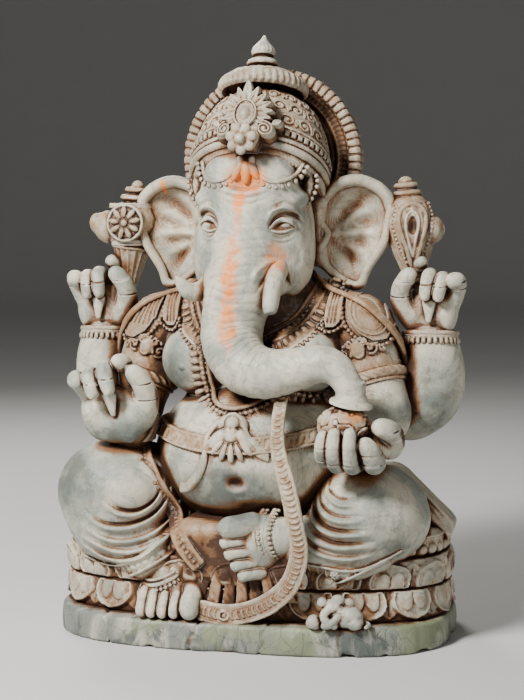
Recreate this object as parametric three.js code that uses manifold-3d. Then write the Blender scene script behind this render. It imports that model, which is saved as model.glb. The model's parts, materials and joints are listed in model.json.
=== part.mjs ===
// A seated elephant-headed devotional idol in carved stone, as the separately carved pieces that are
// pinned and bedded together: slab, lotus throne, torso, head, limbs, ornaments, halo and the dowels inside.
// Millimetres, +Z up, the figure faces -Y, and the origin is the middle of the slab's underside.
import * as THREE from "three";
import { mergeVertices } from "three/addons/utils/BufferGeometryUtils.js";
import Module from "manifold-3d";

const wasm = await Module();
wasm.setup();

// Driving dimensions.
const SLAB = { halfWidth: 197, halfDepth: 124, height: 27, squareness: 2.9 };
const MID = 4; // the figure's middle plane lies this far right of the slab's centre
const JOINT_GAP = 0.3; // bedding gap between two pieces that touch
const LOTUS = { halfWidth: 194, halfDepth: 103, lowTop: 58, highTop: 86, squareness: 2.6 };
const CUSHION_TOP = 111;
const CROWN_LEAN = 0.33; // radians that the crown and halo lean back
const RIM_TILT = 0.55; // the crown's rim rises to the front by this
const BAND_MIDDLE = 445; // height of the rim band's middle on the figure's axis
const DOME_REACH = 84; // half the height of the dome above the rim
const HALO = { radius: 93, thickness: 15, centre: [-1, 64, 470] };
const CANOPY = { radius: 45, centre: [-2, 24, 541] };
const DOWEL_RADIUS = 5;
const ROUND_END = [1.1, 0.55]; // latitudes, in radians, of the rings that round off a limb's end

const STONE = { color: 0xd6cfbe, roughness: 0.62, metalness: 0 };
const STAINED = { color: 0xc09a7c, roughness: 0.7, metalness: 0 };
const STEEL = { color: 0x8c8c8a, roughness: 0.4, metalness: 1 };

const at = (x, y, z) => new THREE.Vector3(MID + x, y, z);

// ---- solids ----

function toSolid(geometry) {
  const bare = geometry.clone();
  bare.deleteAttribute("normal");
  bare.deleteAttribute("uv");
  const merged = mergeVertices(bare, 1e-3);
  const vertProperties = merged.attributes.position.array;
  const triVerts = new Uint32Array(merged.index.array);
  return new wasm.Manifold(new wasm.Mesh({ numProp: 3, vertProperties, triVerts }));
}

function toGeometry(solid) {
  const mesh = solid.getMesh();
  const geometry = new THREE.BufferGeometry();
  geometry.setAttribute("position", new THREE.BufferAttribute(mesh.vertProperties, 3));
  geometry.setIndex(new THREE.BufferAttribute(mesh.triVerts, 1));
  return geometry;
}

const joined = (solids) => solids.reduce((sum, next) => sum.add(next));

function largestBody(solid) {
  return solid.decompose().reduce((best, body) => (body.volume() > best.volume() ? body : best));
}

// An ellipsoid of radii [x, y, z] about a centre, turned by Euler angles.
function egg(centre, radii, turn = [0, 0, 0], segments = 12) {
  return (grow) => {
    const ball = new THREE.SphereGeometry(1, segments, Math.round(segments * 0.6));
    ball.scale(radii[0] + grow, radii[1] + grow, radii[2] + grow);
    ball.applyMatrix4(new THREE.Matrix4().makeRotationFromEuler(new THREE.Euler(...turn)));
    ball.translate(...at(...centre));
    return toSolid(ball);
  };
}

// A round-ended limb of changing radius through [x, y, z, radius] stations.
function limb(stations, segments = 10) {
  return (grow) => {
    const path = new THREE.CatmullRomCurve3(stations.map(([x, y, z]) => at(x, y, z)));
    const radii = stations.map((station) => station[3] + grow);
    const last = stations.length - 1;
    const profile = [new THREE.Vector2(0, -1)];
    const place = [[0, -radii[0]]];
    const add = (radius, share, beyond) => {
      profile.push(new THREE.Vector2(radius, profile.length));
      place.push([share, beyond]);
    };
    for (const angle of ROUND_END) {
      add(Math.cos(angle) * radii[0], 0, -Math.sin(angle) * radii[0]);
    }
    radii.forEach((radius, i) => add(radius, i / last, 0));
    for (const angle of ROUND_END.toReversed()) {
      add(Math.cos(angle) * radii[last], 1, Math.sin(angle) * radii[last]);
    }
    add(0, 1, radii[last]);
    return toSolid(bend(new THREE.LatheGeometry(profile, segments), profile, place, path));
  };
}

// Moves each ring of a turned body to its [share of the path, distance beyond it], square to the path there.
function bend(body, profile, place, path) {
  const rows = place.map(([share, beyond]) => {
    const along = path.getTangent(share);
    const side = new THREE.Vector3(0, 1, 0).cross(along);
    if (side.lengthSq() < 0.05) side.set(1, 0, 0).cross(along);
    side.normalize();
    const up = along.clone().cross(side);
    return { centre: path.getPoint(share).addScaledVector(along, beyond), side, up };
  });
  const position = body.attributes.position;
  for (let i = 0; i < position.count; i++) {
    const { centre, side, up } = rows[i % profile.length];
    const p = centre.clone();
    p.addScaledVector(side, position.getZ(i)).addScaledVector(up, position.getX(i));
    position.setXYZ(i, p.x, p.y, p.z);
  }
  return body;
}

const together = (...shapes) => (grow) => joined(shapes.map((shape) => shape(grow)));

// A turned piece: [radius, height] profile about an axis through the centre, leaning back by an angle.
function turned(centre, profile, lean = 0, segments = 28) {
  return (grow) => {
    const wide = (radius) => (radius > 0 ? radius + grow : 0);
    const points = profile.map(([radius, height]) => new THREE.Vector2(wide(radius), height));
    points[0].y -= grow;
    points.at(-1).y += grow;
    const body = new THREE.LatheGeometry(points, segments);
    body.rotateX(Math.PI / 2 - lean);
    body.translate(...at(...centre));
    return toSolid(body);
  };
}

// A turned ring whose section is a closed loop of [radius, height] points.
function ring(centre, section, turn, segments = 16) {
  return () => {
    const points = [...section, section[0]].map(([radius, height]) => new THREE.Vector2(radius, height));
    const body = new THREE.LatheGeometry(points, segments);
    body.rotateX(Math.PI / 2);
    body.applyMatrix4(new THREE.Matrix4().makeRotationFromEuler(new THREE.Euler(...turn)));
    body.translate(...at(...centre));
    return toSolid(body);
  };
}

// A turned profile whose plan is a squared oval instead of a circle, about the slab's centre.
function oval(halfWidth, halfDepth, squareness, profile, yShift = 0, segments = 34) {
  return (grow) => {
    const points = profile.map(([share, height]) => new THREE.Vector2(share, height));
    points[0].y -= grow;
    points.at(-1).y += grow;
    const body = new THREE.LatheGeometry(points, segments);
    body.rotateX(Math.PI / 2);
    const position = body.attributes.position;
    for (let i = 0; i < position.count; i++) {
      const angle = Math.atan2(position.getY(i), position.getX(i));
      const share = Math.hypot(position.getX(i), position.getY(i));
      const reach = squaredRadius(halfWidth + grow, halfDepth + grow, squareness, angle) * share;
      position.setXY(i, Math.cos(angle) * reach, Math.sin(angle) * reach + yShift);
    }
    return toSolid(body);
  };
}

function squaredRadius(a, b, squareness, angle) {
  const across = Math.abs(Math.cos(angle) / a) ** squareness;
  const along = Math.abs(Math.sin(angle) / b) ** squareness;
  return (across + along) ** (-1 / squareness);
}

// A plate with a smooth outline through [x, z] points, its middle at depth y at the pivot, where it leans
// back and is turned about the vertical.
function plate(outline, y, thickness, { turn = 0, lean = 0, pivot = [0, 0], steps = 20 } = {}) {
  return (grow) => {
    const curve = new THREE.CatmullRomCurve3(
      outline.map(([x, z]) => new THREE.Vector3(x - pivot[0], z - pivot[1], 0)), true, "catmullrom", 0.5);
    const rim = curve.getPoints(steps).slice(0, -1);
    const shape = new THREE.Shape(rim.map((p) => new THREE.Vector2(p.x, p.y)));
    const body = new THREE.ExtrudeGeometry(shape, { depth: thickness + 2 * grow, bevelEnabled: false });
    body.translate(0, 0, -thickness / 2 - grow);
    body.rotateX(Math.PI / 2 - lean);
    body.rotateZ(turn);
    body.translate(MID + pivot[0], y, pivot[1]);
    return toSolid(body);
  };
}

// A band of constant section swept through [x, y, z] points: width across, thickness along the view.
function strap(points, width, thickness, steps = 14) {
  return (grow) => {
    const w = width / 2 + grow;
    const t = thickness / 2 + grow;
    const corners = [[-t, -w], [t, -w], [t, w], [-t, w]];
    const section = new THREE.Shape(corners.map((corner) => new THREE.Vector2(...corner)));
    const path = new THREE.CatmullRomCurve3(points.map((p) => at(...p)));
    return toSolid(new THREE.ExtrudeGeometry(section, { steps, extrudePath: path, bevelEnabled: false }));
  };
}

// An ornament that lies on a body like a skin: the part of the body grown by a height that a plate covers.
function overlay(body, height, cover) {
  return (grow) => body(height + grow).intersect(cover(grow));
}

function dowel(centre, length, lean = 0) {
  const end = length / 2;
  return turned(centre, [[0, -end], [DOWEL_RADIUS, -end], [DOWEL_RADIUS, end], [0, end]], lean, 10);
}

// A thick level sheet tilted like the crown's rim, its middle at a height on the figure's axis.
function tiltedSlice(height, halfThickness) {
  return (grow) => {
    const sheet = new THREE.BoxGeometry(240, 240, 2 * (halfThickness + grow));
    sheet.rotateX(-RIM_TILT);
    sheet.translate(...at(0, 0, height));
    return toSolid(sheet);
  };
}

// Mirrors a list of [x, ...] entries to the figure's other side.
const mirrored = (stations) => stations.map(([x, ...rest]) => [-x, ...rest]);

// ---- throne ----

const slab = oval(SLAB.halfWidth, SLAB.halfDepth, SLAB.squareness,
  [[0, 0], [0.985, 0], [1, 5], [1, SLAB.height - 3], [0.99, SLAB.height], [0, SLAB.height]]);
const lotusLower = oval(LOTUS.halfWidth, LOTUS.halfDepth, LOTUS.squareness,
  [[0, SLAB.height], [1, SLAB.height], [1, SLAB.height + 8], [0.95, LOTUS.lowTop], [0, LOTUS.lowTop]]);
const lotusUpper = oval(LOTUS.halfWidth, LOTUS.halfDepth, LOTUS.squareness,
  [[0, LOTUS.lowTop], [0.94, LOTUS.lowTop], [1, LOTUS.lowTop + 15], [0.99, LOTUS.highTop],
    [0, LOTUS.highTop]]);
const cushion = oval(192, 98, LOTUS.squareness,
  [[0, LOTUS.highTop], [0.97, LOTUS.highTop], [1, 99], [0.96, CUSHION_TOP], [0, CUSHION_TOP]], 6);

// ---- body ----

const belly = egg([0, -20, 176], [98, 90, 77], [0, 0, 0], 16);
const chest = egg([0, 8, 272], [90, 55, 66]);
const torso = together(
  belly,
  chest,
  egg([-48, -32, 272], [43, 37, 39], [0, 0, 0], 10),
  egg([48, -32, 272], [43, 37, 39], [0, 0, 0], 10),
  egg([0, 30, 138], [104, 66, 48]),
  turned([0, 4, 300], [[0, 0], [47, 0], [41, 30], [40, 45], [0, 45]], 0, 16));

const head = together(
  egg([0, -4, 400], [58, 62, 72], [0, 0, 0], 14),
  egg([-36, -24, 374], [26, 32, 38], [0, 0, 0], 10),
  egg([36, -24, 374], [26, 32, 38], [0, 0, 0], 10),
  limb([[0, -34, 392, 44], [-3, -56, 348, 35]]));
const trunk = limb([
  [-5, -63, 338, 31], [-8, -70, 312, 29.5], [-5, -80, 288, 27.5], [8, -92, 271, 25],
  [33, -100, 264, 21.5], [62, -106, 270, 19], [86, -109, 275, 17.5], [102, -111, 270, 16],
  [111, -112, 258, 15.5], [117, -112, 247, 17]]);

const EAR_OUTLINE = [[-44, 444], [-60, 452], [-84, 455], [-108, 446], [-124, 424], [-120, 410], [-116, 390],
  [-103, 366], [-92, 343], [-66, 352], [-50, 380]];
const rightEar = plate(EAR_OUTLINE, 18, 22, { turn: -0.2, pivot: [-50, 0], steps: 26 });
const leftEar = plate(mirrored(EAR_OUTLINE), 18, 22, { turn: 0.2, pivot: [50, 0], steps: 26 });

const rightTusk = limb(
  [[-31, -46, 356, 13], [-41, -66, 338, 11], [-50, -78, 339, 8.5], [-55, -84, 350, 4]], 8);
const leftTusk = limb([[30, -46, 368, 13], [31, -68, 348, 10.5], [31, -82, 322, 7]], 8);

// ---- crown and halo ----

const halo = turned(HALO.centre,
  [[0, -HALO.thickness / 2], [HALO.radius - 3, -HALO.thickness / 2], [HALO.radius, -3], [HALO.radius, 4],
    [HALO.radius - 6, HALO.thickness / 2], [0, HALO.thickness / 2]], Math.PI / 2 + 0.06, 28);
const crownCap = egg([0, 8, 462], [70, 68, 82], [CROWN_LEAN, 0, 0], 16);
const crownDome = overlay(crownCap, 0, tiltedSlice(BAND_MIDDLE + DOME_REACH - 10, DOME_REACH));
const crownCanopy = turned(CANOPY.centre,
  [[0, -16], [24, -15], [30, -8], [41, -6], [CANOPY.radius, -1], [43, 5], [32, 10], [20, 15], [0, 16]],
  -CROWN_LEAN, 18);
const finial = turned([-2, 26, 555],
  [[0, 0], [12, 0], [13, 4], [17.5, 10], [16, 15], [8, 22], [3, 28], [0, 33]], 0, 14);
const crownBand = overlay(crownCap, 5, tiltedSlice(BAND_MIDDLE, 11));
const crownCrest = plate(
  [[-30, 488], [-34, 500], [-22, 516], [-8, 536], [0, 549], [8, 536], [22, 516], [34, 500], [30, 488]],
  -66, 11, { lean: 0.46, pivot: [0, 488] });
const garland = overlay(head, 5, plate([[-44, 450], [-30, 436], [-10, 450], [0, 440], [10, 450], [30, 436],
  [44, 450], [38, 470], [-38, 470]], -50, 60));

// ---- arms: the rear pair raises two emblems, the front pair blesses and offers a sweet ----

const rearArm = [[106, 26, 292, 33], [146, 34, 218, 29]];
const rearForearm = [[160, 30, 226, 27], [168, 26, 292, 23]];
const rearHand = (side) => together(
  egg([side * 169, 20, 326], [29, 22, 32]),
  egg([side * 152, 18, 347], [14, 17, 19], [0, 0, 0], 10),
  egg([side * 187, 18, 347], [14, 15, 19], [0, 0, 0], 10));
const frontArm = [[104, 2, 292, 35], [124, -10, 226, 29]];
const rightForearm = [[-126, -22, 212, 27], [-112, -66, 208, 24]];
const leftForearm = [[128, -24, 214, 27], [122, -72, 200, 23]];
const frontRightHand = together(
  egg([-122, -86, 228], [33, 25, 37]),
  egg([-140, -90, 256], [22, 17, 20], [0, 0, 0], 10));
const frontLeftHand = together(
  egg([114, -106, 203], [36, 28, 27]),
  egg([140, -100, 208], [12, 20, 18], [0, 0, 0], 10));
const sweetBall = egg([114, -106, 227], [25, 22, 17]);

const bracelet = (side) => ring([side * 168, 26, 294],
  [[15, -8], [27, -9], [28.5, 0], [27, 8], [15, 7]], [0.05, 0, 0]);
const bangle = ring([-116, -66, 206],
  [[15, -5], [26, -5], [27, 0], [26, 5], [15, 5]], [1.1, 0.25, 0]);
const armlet = (side) => together(
  ring([side * 116, -5, 252], [[20, -11], [36, -11], [37, 0], [36, 11], [20, 11]], [0, side * -0.3, 0]),
  egg([side * 113, -38, 262], [17, 9, 20], [0, 0, 0], 8));

const EMBLEM_PROFILE = [
  [0, -58], [9, -56], [17, -34], [24, -14], [28, 8], [25, 26], [15, 34], [15, 42], [9, 52], [0, 54]];
const rightEmblem = together(
  turned([-141, 30, 397], EMBLEM_PROFILE, 0, 12),
  egg([-170, 30, 402], [16, 16, 19], [0, 0, 0], 10));
const leftEmblem = together(
  turned([147, 30, 399], EMBLEM_PROFILE, 0, 12),
  egg([172, 30, 396], [9, 10, 9], [0, 0, 0], 8));

// ---- legs ----

const rightLeg = together(
  limb([[-62, 0, 128, 50], [-124, -50, 138, 54]]),
  egg([-129, -62, 141], [61, 57, 52], [0, 0, 0], 14),
  limb([[-122, -70, 112, 46], [-84, -84, 82, 30]]));
const rightFoot = together(
  limb([[-82, -78, 80, 23], [-70, -84, 58, 22]]),
  egg([-60, -100, 44], [31, 25, 16]));
const leftLeg = together(
  limb([[66, 0, 122, 46], [122, -46, 126, 50]]),
  egg([123, -56, 124], [60, 58, 52], [0, 0, 0], 14),
  limb([[104, -78, 92, 32], [66, -88, 102, 26]]));
const leftFoot = together(
  limb([[64, -90, 108, 23], [32, -94, 108, 22]]),
  egg([12, -98, 100], [24, 17, 34], [0, -0.15, 0]));
const anklet = (centre, turn) => ring(centre, [[15, -7], [28, -7], [30, 0], [28, 7], [15, 7]], turn);
const rightAnklet = anklet([-74, -84, 64], [0.35, 0.25, 0]);
const leftAnklet = anklet([40, -94, 107], [0, 1.35, 0]);

// ---- cloth, belt and jewellery carved to lie on the body ----

const shoulders = together(chest, limb(frontArm), limb(mirrored(frontArm)));
const waistBelt = overlay(belly, 4, plate(
  [[-120, 216], [-60, 204], [0, 199], [60, 204], [120, 216],
    [120, 196], [60, 183], [0, 178], [-60, 183], [-120, 196]], -20, 240));
const beltKnot = overlay(belly, 13, plate(
  [[-30, 198], [-20, 222], [-4, 232], [12, 222], [28, 196], [14, 176], [-8, 172], [-24, 180]], -110, 60));
const collar = overlay(shoulders, 12, plate(
  [[-78, 340], [-64, 296], [-34, 262], [0, 254], [34, 262], [64, 296], [78, 340], [40, 352], [-40, 352]],
  -30, 150));
const longNecklace = overlay(torso, 6, plate(
  [[-62, 300], [-46, 254], [-28, 226], [0, 216], [28, 226], [46, 254], [62, 300],
    [48, 300], [32, 256], [18, 238], [0, 230], [-18, 238], [-32, 256], [-48, 300]], -70, 90));
const CAPE_OUTLINE = [[52, 346], [96, 338], [134, 306], [132, 290], [110, 288], [80, 300], [62, 318]];
const shoulderCape = (side) =>
  overlay(shoulders, 7, plate(CAPE_OUTLINE.map(([x, z]) => [side * x, z]), -10, 110));
const shoulderCord = (side) => limb(
  [[54, -6, 352, 5], [84, -6, 345, 5], [116, -4, 326, 5], [138, 2, 296, 5], [144, 6, 262, 5]]
    .map(([x, ...rest]) => [side * x, ...rest]), 6);

const centreSash = strap([[42, -98, 240], [46, -112, 205], [49, -121, 170], [57, -124, 135], [66, -121, 100],
  [64, -117, 70], [46, -112, 48], [16, -113, 38], [-18, -114, 35]], 5, 17, 18);
const pleats = plate([[-34, 34], [0, 31], [38, 34], [60, 46], [40, 92], [10, 100], [-14, 92]], -100, 16);
const thighDrape = plate([[136, 172], [160, 160], [192, 120], [190, 92], [172, 88], [160, 106], [146, 140]],
  -6, 26, { turn: 0.25, pivot: [165, 0], steps: 18 });

const mouse = together(
  egg([108, -110, 44], [19, 13, 16.5], [0, 0, 0], 12),
  egg([88, -115, 40], [12, 10, 10], [0, 0, 0], 10),
  egg([93, -106, 53], [7, 5, 7], [0, 0, 0], 8));

// ---- assembly: each piece is seated against all the pieces before it, less the bedding gap ----

const PIECES = [
  ["torso_dowel", dowel([0, 10, 112], 70), STEEL],
  ["neck_dowel", dowel([0, 4, 345], 60), STEEL],
  ["halo_dowel", dowel([0, 48, 462], 34, Math.PI / 2), STEEL],
  ["finial_dowel", dowel([-2, 26, 552], 26), STEEL],
  ["plinth_slab", slab, STONE],
  ["lotus_lower_tier", lotusLower, STAINED],
  ["lotus_upper_tier", lotusUpper, STONE],
  ["seat_cushion", cushion, STAINED],
  ["halo_disc", halo, STAINED],
  ["torso", torso, STONE],
  ["long_necklace", longNecklace, STAINED],
  ["head", head, STONE],
  ["trunk", trunk, STONE],
  ["right_tusk", rightTusk, STONE],
  ["left_tusk", leftTusk, STONE],
  ["crown_dome", crownDome, STONE],
  ["crown_band", crownBand, STONE],
  ["crown_crest", crownCrest, STONE],
  ["right_ear", rightEar, STONE],
  ["left_ear", leftEar, STONE],
  ["crown_canopy", crownCanopy, STAINED],
  ["crown_finial", finial, STONE],
  ["forehead_garland", garland, STAINED],
  ["right_leg", rightLeg, STONE],
  ["left_leg", leftLeg, STONE],
  ["right_foot", rightFoot, STONE],
  ["left_foot", leftFoot, STONE],
  ["right_anklet", rightAnklet, STAINED],
  ["left_anklet", leftAnklet, STAINED],
  ["front_left_hand", frontLeftHand, STONE],
  ["front_right_hand", frontRightHand, STONE],
  ["sweet_ball", sweetBall, STAINED],
  ["front_left_arm", limb(frontArm), STONE],
  ["front_left_forearm", limb(leftForearm), STONE],
  ["front_right_arm", limb(mirrored(frontArm)), STONE],
  ["front_right_forearm", limb(rightForearm), STONE],
  ["front_right_bangle", bangle, STAINED],
  ["rear_left_hand", rearHand(1), STONE],
  ["rear_right_hand", rearHand(-1), STONE],
  ["rear_left_forearm", limb(rearForearm), STONE],
  ["rear_right_forearm", limb(mirrored(rearForearm)), STONE],
  ["rear_left_bracelet", bracelet(1), STAINED],
  ["rear_right_bracelet", bracelet(-1), STAINED],
  ["rear_left_arm", limb(rearArm), STONE],
  ["rear_right_arm", limb(mirrored(rearArm)), STONE],
  ["left_armlet", armlet(1), STAINED],
  ["right_armlet", armlet(-1), STAINED],
  ["left_emblem", leftEmblem, STAINED],
  ["right_emblem", rightEmblem, STAINED],
  ["belt_knot", beltKnot, STAINED],
  ["waist_belt", waistBelt, STAINED],
  ["centre_sash", centreSash, STAINED],
  ["collar_necklace", collar, STAINED],
  ["left_shoulder_cord", shoulderCord(1), STAINED],
  ["right_shoulder_cord", shoulderCord(-1), STAINED],
  ["left_shoulder_cape", shoulderCape(1), STAINED],
  ["right_shoulder_cape", shoulderCape(-1), STAINED],
  ["front_pleats", pleats, STAINED],
  ["left_hip_drape", thighDrape, STONE],
  ["mouse", mouse, STONE],
];

const idol = new THREE.Group();
const seated = [];
for (const [name, shape, look] of PIECES) {
  let solid = shape(0);
  for (const neighbour of seated) {
    if (solid.intersect(neighbour).volume() > 0) solid = solid.subtract(neighbour);
  }
  const mesh = new THREE.Mesh(toGeometry(largestBody(solid)), new THREE.MeshStandardMaterial(look));
  mesh.name = name;
  idol.add(mesh);
  seated.push(shape(JOINT_GAP));
}

export default idol;
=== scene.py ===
"""Looks of the seated elephant-headed idol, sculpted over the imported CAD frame.

Each piece is shaped as clay: signed distances in millimetres on a grid, in the figure's frame (x from the
figure's middle plane, y away from the viewer, z up from the slab's underside), then skinned as a mesh.
"""
import json
import math
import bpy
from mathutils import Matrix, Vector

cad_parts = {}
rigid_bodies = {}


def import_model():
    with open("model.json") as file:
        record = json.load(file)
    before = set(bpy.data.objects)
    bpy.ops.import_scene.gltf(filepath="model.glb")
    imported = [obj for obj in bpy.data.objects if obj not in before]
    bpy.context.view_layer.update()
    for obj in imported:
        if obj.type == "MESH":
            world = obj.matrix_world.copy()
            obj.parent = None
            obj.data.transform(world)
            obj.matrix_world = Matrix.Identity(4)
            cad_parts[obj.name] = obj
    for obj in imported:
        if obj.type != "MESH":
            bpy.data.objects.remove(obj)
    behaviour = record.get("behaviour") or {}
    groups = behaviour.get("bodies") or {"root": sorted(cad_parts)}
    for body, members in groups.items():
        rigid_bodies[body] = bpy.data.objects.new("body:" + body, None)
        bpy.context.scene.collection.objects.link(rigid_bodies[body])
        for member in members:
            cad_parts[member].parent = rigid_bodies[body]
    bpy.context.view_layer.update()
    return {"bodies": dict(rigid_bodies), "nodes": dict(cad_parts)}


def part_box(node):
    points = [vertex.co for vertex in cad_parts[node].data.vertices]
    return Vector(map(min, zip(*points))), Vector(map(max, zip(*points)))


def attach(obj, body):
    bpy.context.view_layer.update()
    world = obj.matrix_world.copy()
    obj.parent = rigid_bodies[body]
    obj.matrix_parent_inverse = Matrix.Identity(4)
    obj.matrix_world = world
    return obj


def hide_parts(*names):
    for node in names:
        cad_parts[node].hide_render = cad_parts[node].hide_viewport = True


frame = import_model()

from concurrent.futures import ThreadPoolExecutor

import bpy
import numpy as np
import openvdb
from mathutils import Vector

COARSE = 1.0      # voxels grow by this
FAR = 1e3                                # mm, a distance that stands for empty space
MM, MM_PER_M = 0.001, 1000
F32 = np.float32


def centre_mm(node):
    lo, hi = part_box(node)
    return np.array((lo + hi) / 2) * MM_PER_M


MID = centre_mm("head")[0]          # the figure's middle plane in the row frame
SLAB_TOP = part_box("plinth_slab")[1].z * MM_PER_M


# ---- clay ----

def rotation(turn):
    """Rotation matrix from degrees about x, then y, then z."""
    a, b, c = (math.radians(t) for t in turn)
    rx = np.array([[1, 0, 0], [0, math.cos(a), -math.sin(a)], [0, math.sin(a), math.cos(a)]])
    ry = np.array([[math.cos(b), 0, math.sin(b)], [0, 1, 0], [-math.sin(b), 0, math.cos(b)]])
    rz = np.array([[math.cos(c), -math.sin(c), 0], [math.sin(c), math.cos(c), 0], [0, 0, 1]])
    return rz @ ry @ rx


def smooth_min(a, b, k):
    if k <= 0:
        return np.minimum(a, b)
    h = np.maximum(k - np.abs(a - b), 0)
    return np.minimum(a, b) - h * h * F32(0.25 / k)


class Clay:
    def __init__(self, lo, hi, voxel):
        self.v = voxel * COARSE
        self.lo = np.floor(np.array(lo, float) / self.v) * self.v
        self.n = (np.ceil((np.array(hi, float) - self.lo) / self.v) + 1).astype(int)
        self.d = np.full(self.n, FAR, F32)
        self.axis = [(self.lo[k] + self.v * np.arange(self.n[k])).astype(F32) for k in range(3)]

    def block(self, lo, hi, pad):
        i = np.clip(np.floor((np.array(lo) - pad - self.lo) / self.v).astype(int), 0, self.n)
        j = np.clip(np.ceil((np.array(hi) + pad - self.lo) / self.v).astype(int) + 1, 0, self.n)
        sl = tuple(slice(a, b) for a, b in zip(i, j))
        x, y, z = (self.axis[k][sl[k]] for k in range(3))
        return sl, x[:, None, None], y[None, :, None], z[None, None, :]

    def whole(self):
        x, y, z = self.axis
        return x[:, None, None], y[None, :, None], z[None, None, :]

    def _each(self, shape, pad):
        for lo, hi, fn in (shape if isinstance(shape, list) else [shape]):
            sl, x, y, z = self.block(lo, hi, pad)
            if all(s.stop > s.start for s in sl):
                yield sl, fn(x, y, z)

    def add(self, shape, blend=0.0, pad=None):
        for sl, s in self._each(shape, max(blend, 6) if pad is None else pad):
            self.d[sl] = smooth_min(self.d[sl], s, blend)
        return self

    def cut(self, shape, blend=0.0):
        for sl, s in self._each(shape, max(blend, 2)):
            self.d[sl] = -smooth_min(-self.d[sl], s, blend)
        return self

    def front(self, xz):
        """[x, y, z] of the first surface met from the viewer's side at each x, z."""
        out = []
        for x, z in xz:
            i = int(np.clip(round((x - self.lo[0]) / self.v), 0, self.n[0] - 1))
            k = int(np.clip(round((z - self.lo[2]) / self.v), 0, self.n[2] - 1))
            column = self.d[i, :, k]
            hit = np.nonzero(column < 0)[0]
            if len(hit) == 0:
                hit = [int(np.argmin(column))]
            j = hit[0]
            back = 0.0
            if 0 < j:
                a, b = column[j - 1], column[j]
                back = b / (b - a) if b != a else 0.0
            out.append((x, self.lo[1] + self.v * (j + max(-1.0, min(0.0, back))), z))
        return out

    def depth(self, x, z):
        """y of the first surface met from the viewer's side."""
        return self.front([(x, z)])[0][1]

    def stand(self, height):
        """Cuts off what is below a height."""
        self.d = np.maximum(self.d, F32(height) - self.whole()[2])

    def sample(self, p):
        """Distances at points (n, 3), by trilinear reading."""
        q = (p - self.lo) / self.v
        q = np.clip(q, 0, self.n - 1.001)
        i = q.astype(int)
        f = (q - i).astype(F32)
        total = np.zeros(len(p), F32)
        for dx in (0, 1):
            wx = f[:, 0] if dx else 1 - f[:, 0]
            for dy in (0, 1):
                wy = f[:, 1] if dy else 1 - f[:, 1]
                for dz in (0, 1):
                    wz = f[:, 2] if dz else 1 - f[:, 2]
                    total += wx * wy * wz * self.d[i[:, 0] + dx, i[:, 1] + dy, i[:, 2] + dz]
        return total

    def quads(self):
        d = np.clip(self.d / self.v, -3, 3).astype(F32)
        for k in range(3):                       # closes the skin at the block's sides
            for end in (0, -1):
                index = [slice(None)] * 3
                index[k] = end
                d[tuple(index)] = 3
        grid = openvdb.FloatGrid(3.0)
        grid.copyFromArray(d, tolerance=1e-3)
        points, faces = grid.convertToQuads(isovalue=0.0)
        return points * self.v + self.lo, faces


def vec(*p):
    return np.array(p, float)


def egg(c, r, turn=None):
    c, r = np.array(c, float), np.array(r, float)
    m = rotation(turn) if turn else None
    reach = np.sqrt((m ** 2) @ (r ** 2)) if turn else r

    def fn(x, y, z):
        x, y, z = x - F32(c[0]), y - F32(c[1]), z - F32(c[2])
        if m is not None:
            x, y, z = (x * F32(m[0][k]) + y * F32(m[1][k]) + z * F32(m[2][k]) for k in range(3))
        k0 = np.sqrt((x / r[0]).astype(F32) ** 2 + (y / r[1]).astype(F32) ** 2 + (z / r[2]).astype(F32) ** 2)
        k1 = np.sqrt((x / r[0] ** 2).astype(F32) ** 2 + (y / r[1] ** 2).astype(F32) ** 2
                     + (z / r[2] ** 2).astype(F32) ** 2)
        return k0 * (k0 - 1) / np.maximum(k1, F32(1e-4))
    return c - reach, c + reach, fn


def bone(a, ra, b, rb, flat=None):
    """A round-ended limb; flat = (axis vector, ratio) squashes it along an axis."""
    a, b = np.array(a, float), np.array(b, float)
    ab = b - a
    l2 = max(float(ab @ ab), 1e-6)
    r = max(ra, rb)

    def fn(x, y, z):
        px, py, pz = x - F32(a[0]), y - F32(a[1]), z - F32(a[2])
        h = np.clip((px * F32(ab[0]) + py * F32(ab[1]) + pz * F32(ab[2])) / F32(l2), 0, 1)
        qx, qy, qz = px - h * F32(ab[0]), py - h * F32(ab[1]), pz - h * F32(ab[2])
        d2 = qx * qx + qy * qy + qz * qz
        if flat is not None:
            n, ratio = flat
            along = qx * F32(n[0]) + qy * F32(n[1]) + qz * F32(n[2])
            d2 = d2 + along * along * F32(1 / ratio ** 2 - 1)
        return np.sqrt(d2) - (F32(ra) + h * F32(rb - ra))
    return np.minimum(a, b) - r, np.maximum(a, b) + r, fn


def spline(points, n):
    """n points along a Catmull-Rom curve through the given ones, any number of columns."""
    p = np.array(points, float)
    p = np.vstack([2 * p[0] - p[1], p, 2 * p[-1] - p[-2]])
    t = np.linspace(0, len(p) - 3 - 1e-9, n)
    i = t.astype(int)
    f = (t - i)[:, None]
    a, b, c, d = p[i], p[i + 1], p[i + 2], p[i + 3]
    return 0.5 * ((2 * b) + (c - a) * f + (2 * a - 5 * b + 4 * c - d) * f ** 2 + (3 * b - a - 3 * c + d) * f ** 3)


def along(points, gap):
    """Points spaced by gap along a curve."""
    p = spline(points, max(8, 16 * len(points)))
    steps = np.concatenate([[0], np.cumsum(np.linalg.norm(np.diff(p, axis=0), axis=1))])
    n = max(2, int(round(steps[-1] / gap)) + 1)
    at = np.linspace(0, steps[-1], n)
    return np.stack([np.interp(at, steps, p[:, k]) for k in range(p.shape[1])], 1)


def tube(stations, n=None, flat=None):
    """Limbs through [x, y, z, r] stations, smoothed."""
    s = spline(stations, n) if n else np.array(stations, float)
    return [bone(s[i][:3], s[i][3], s[i + 1][:3], s[i + 1][3], flat) for i in range(len(s) - 1)]


def rope(line, r):
    """Limbs of one radius along points."""
    return [bone(line[i], r, line[i + 1], r) for i in range(len(line) - 1)]


def ball(c, r):
    return egg(c, (r, r, r))


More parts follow.
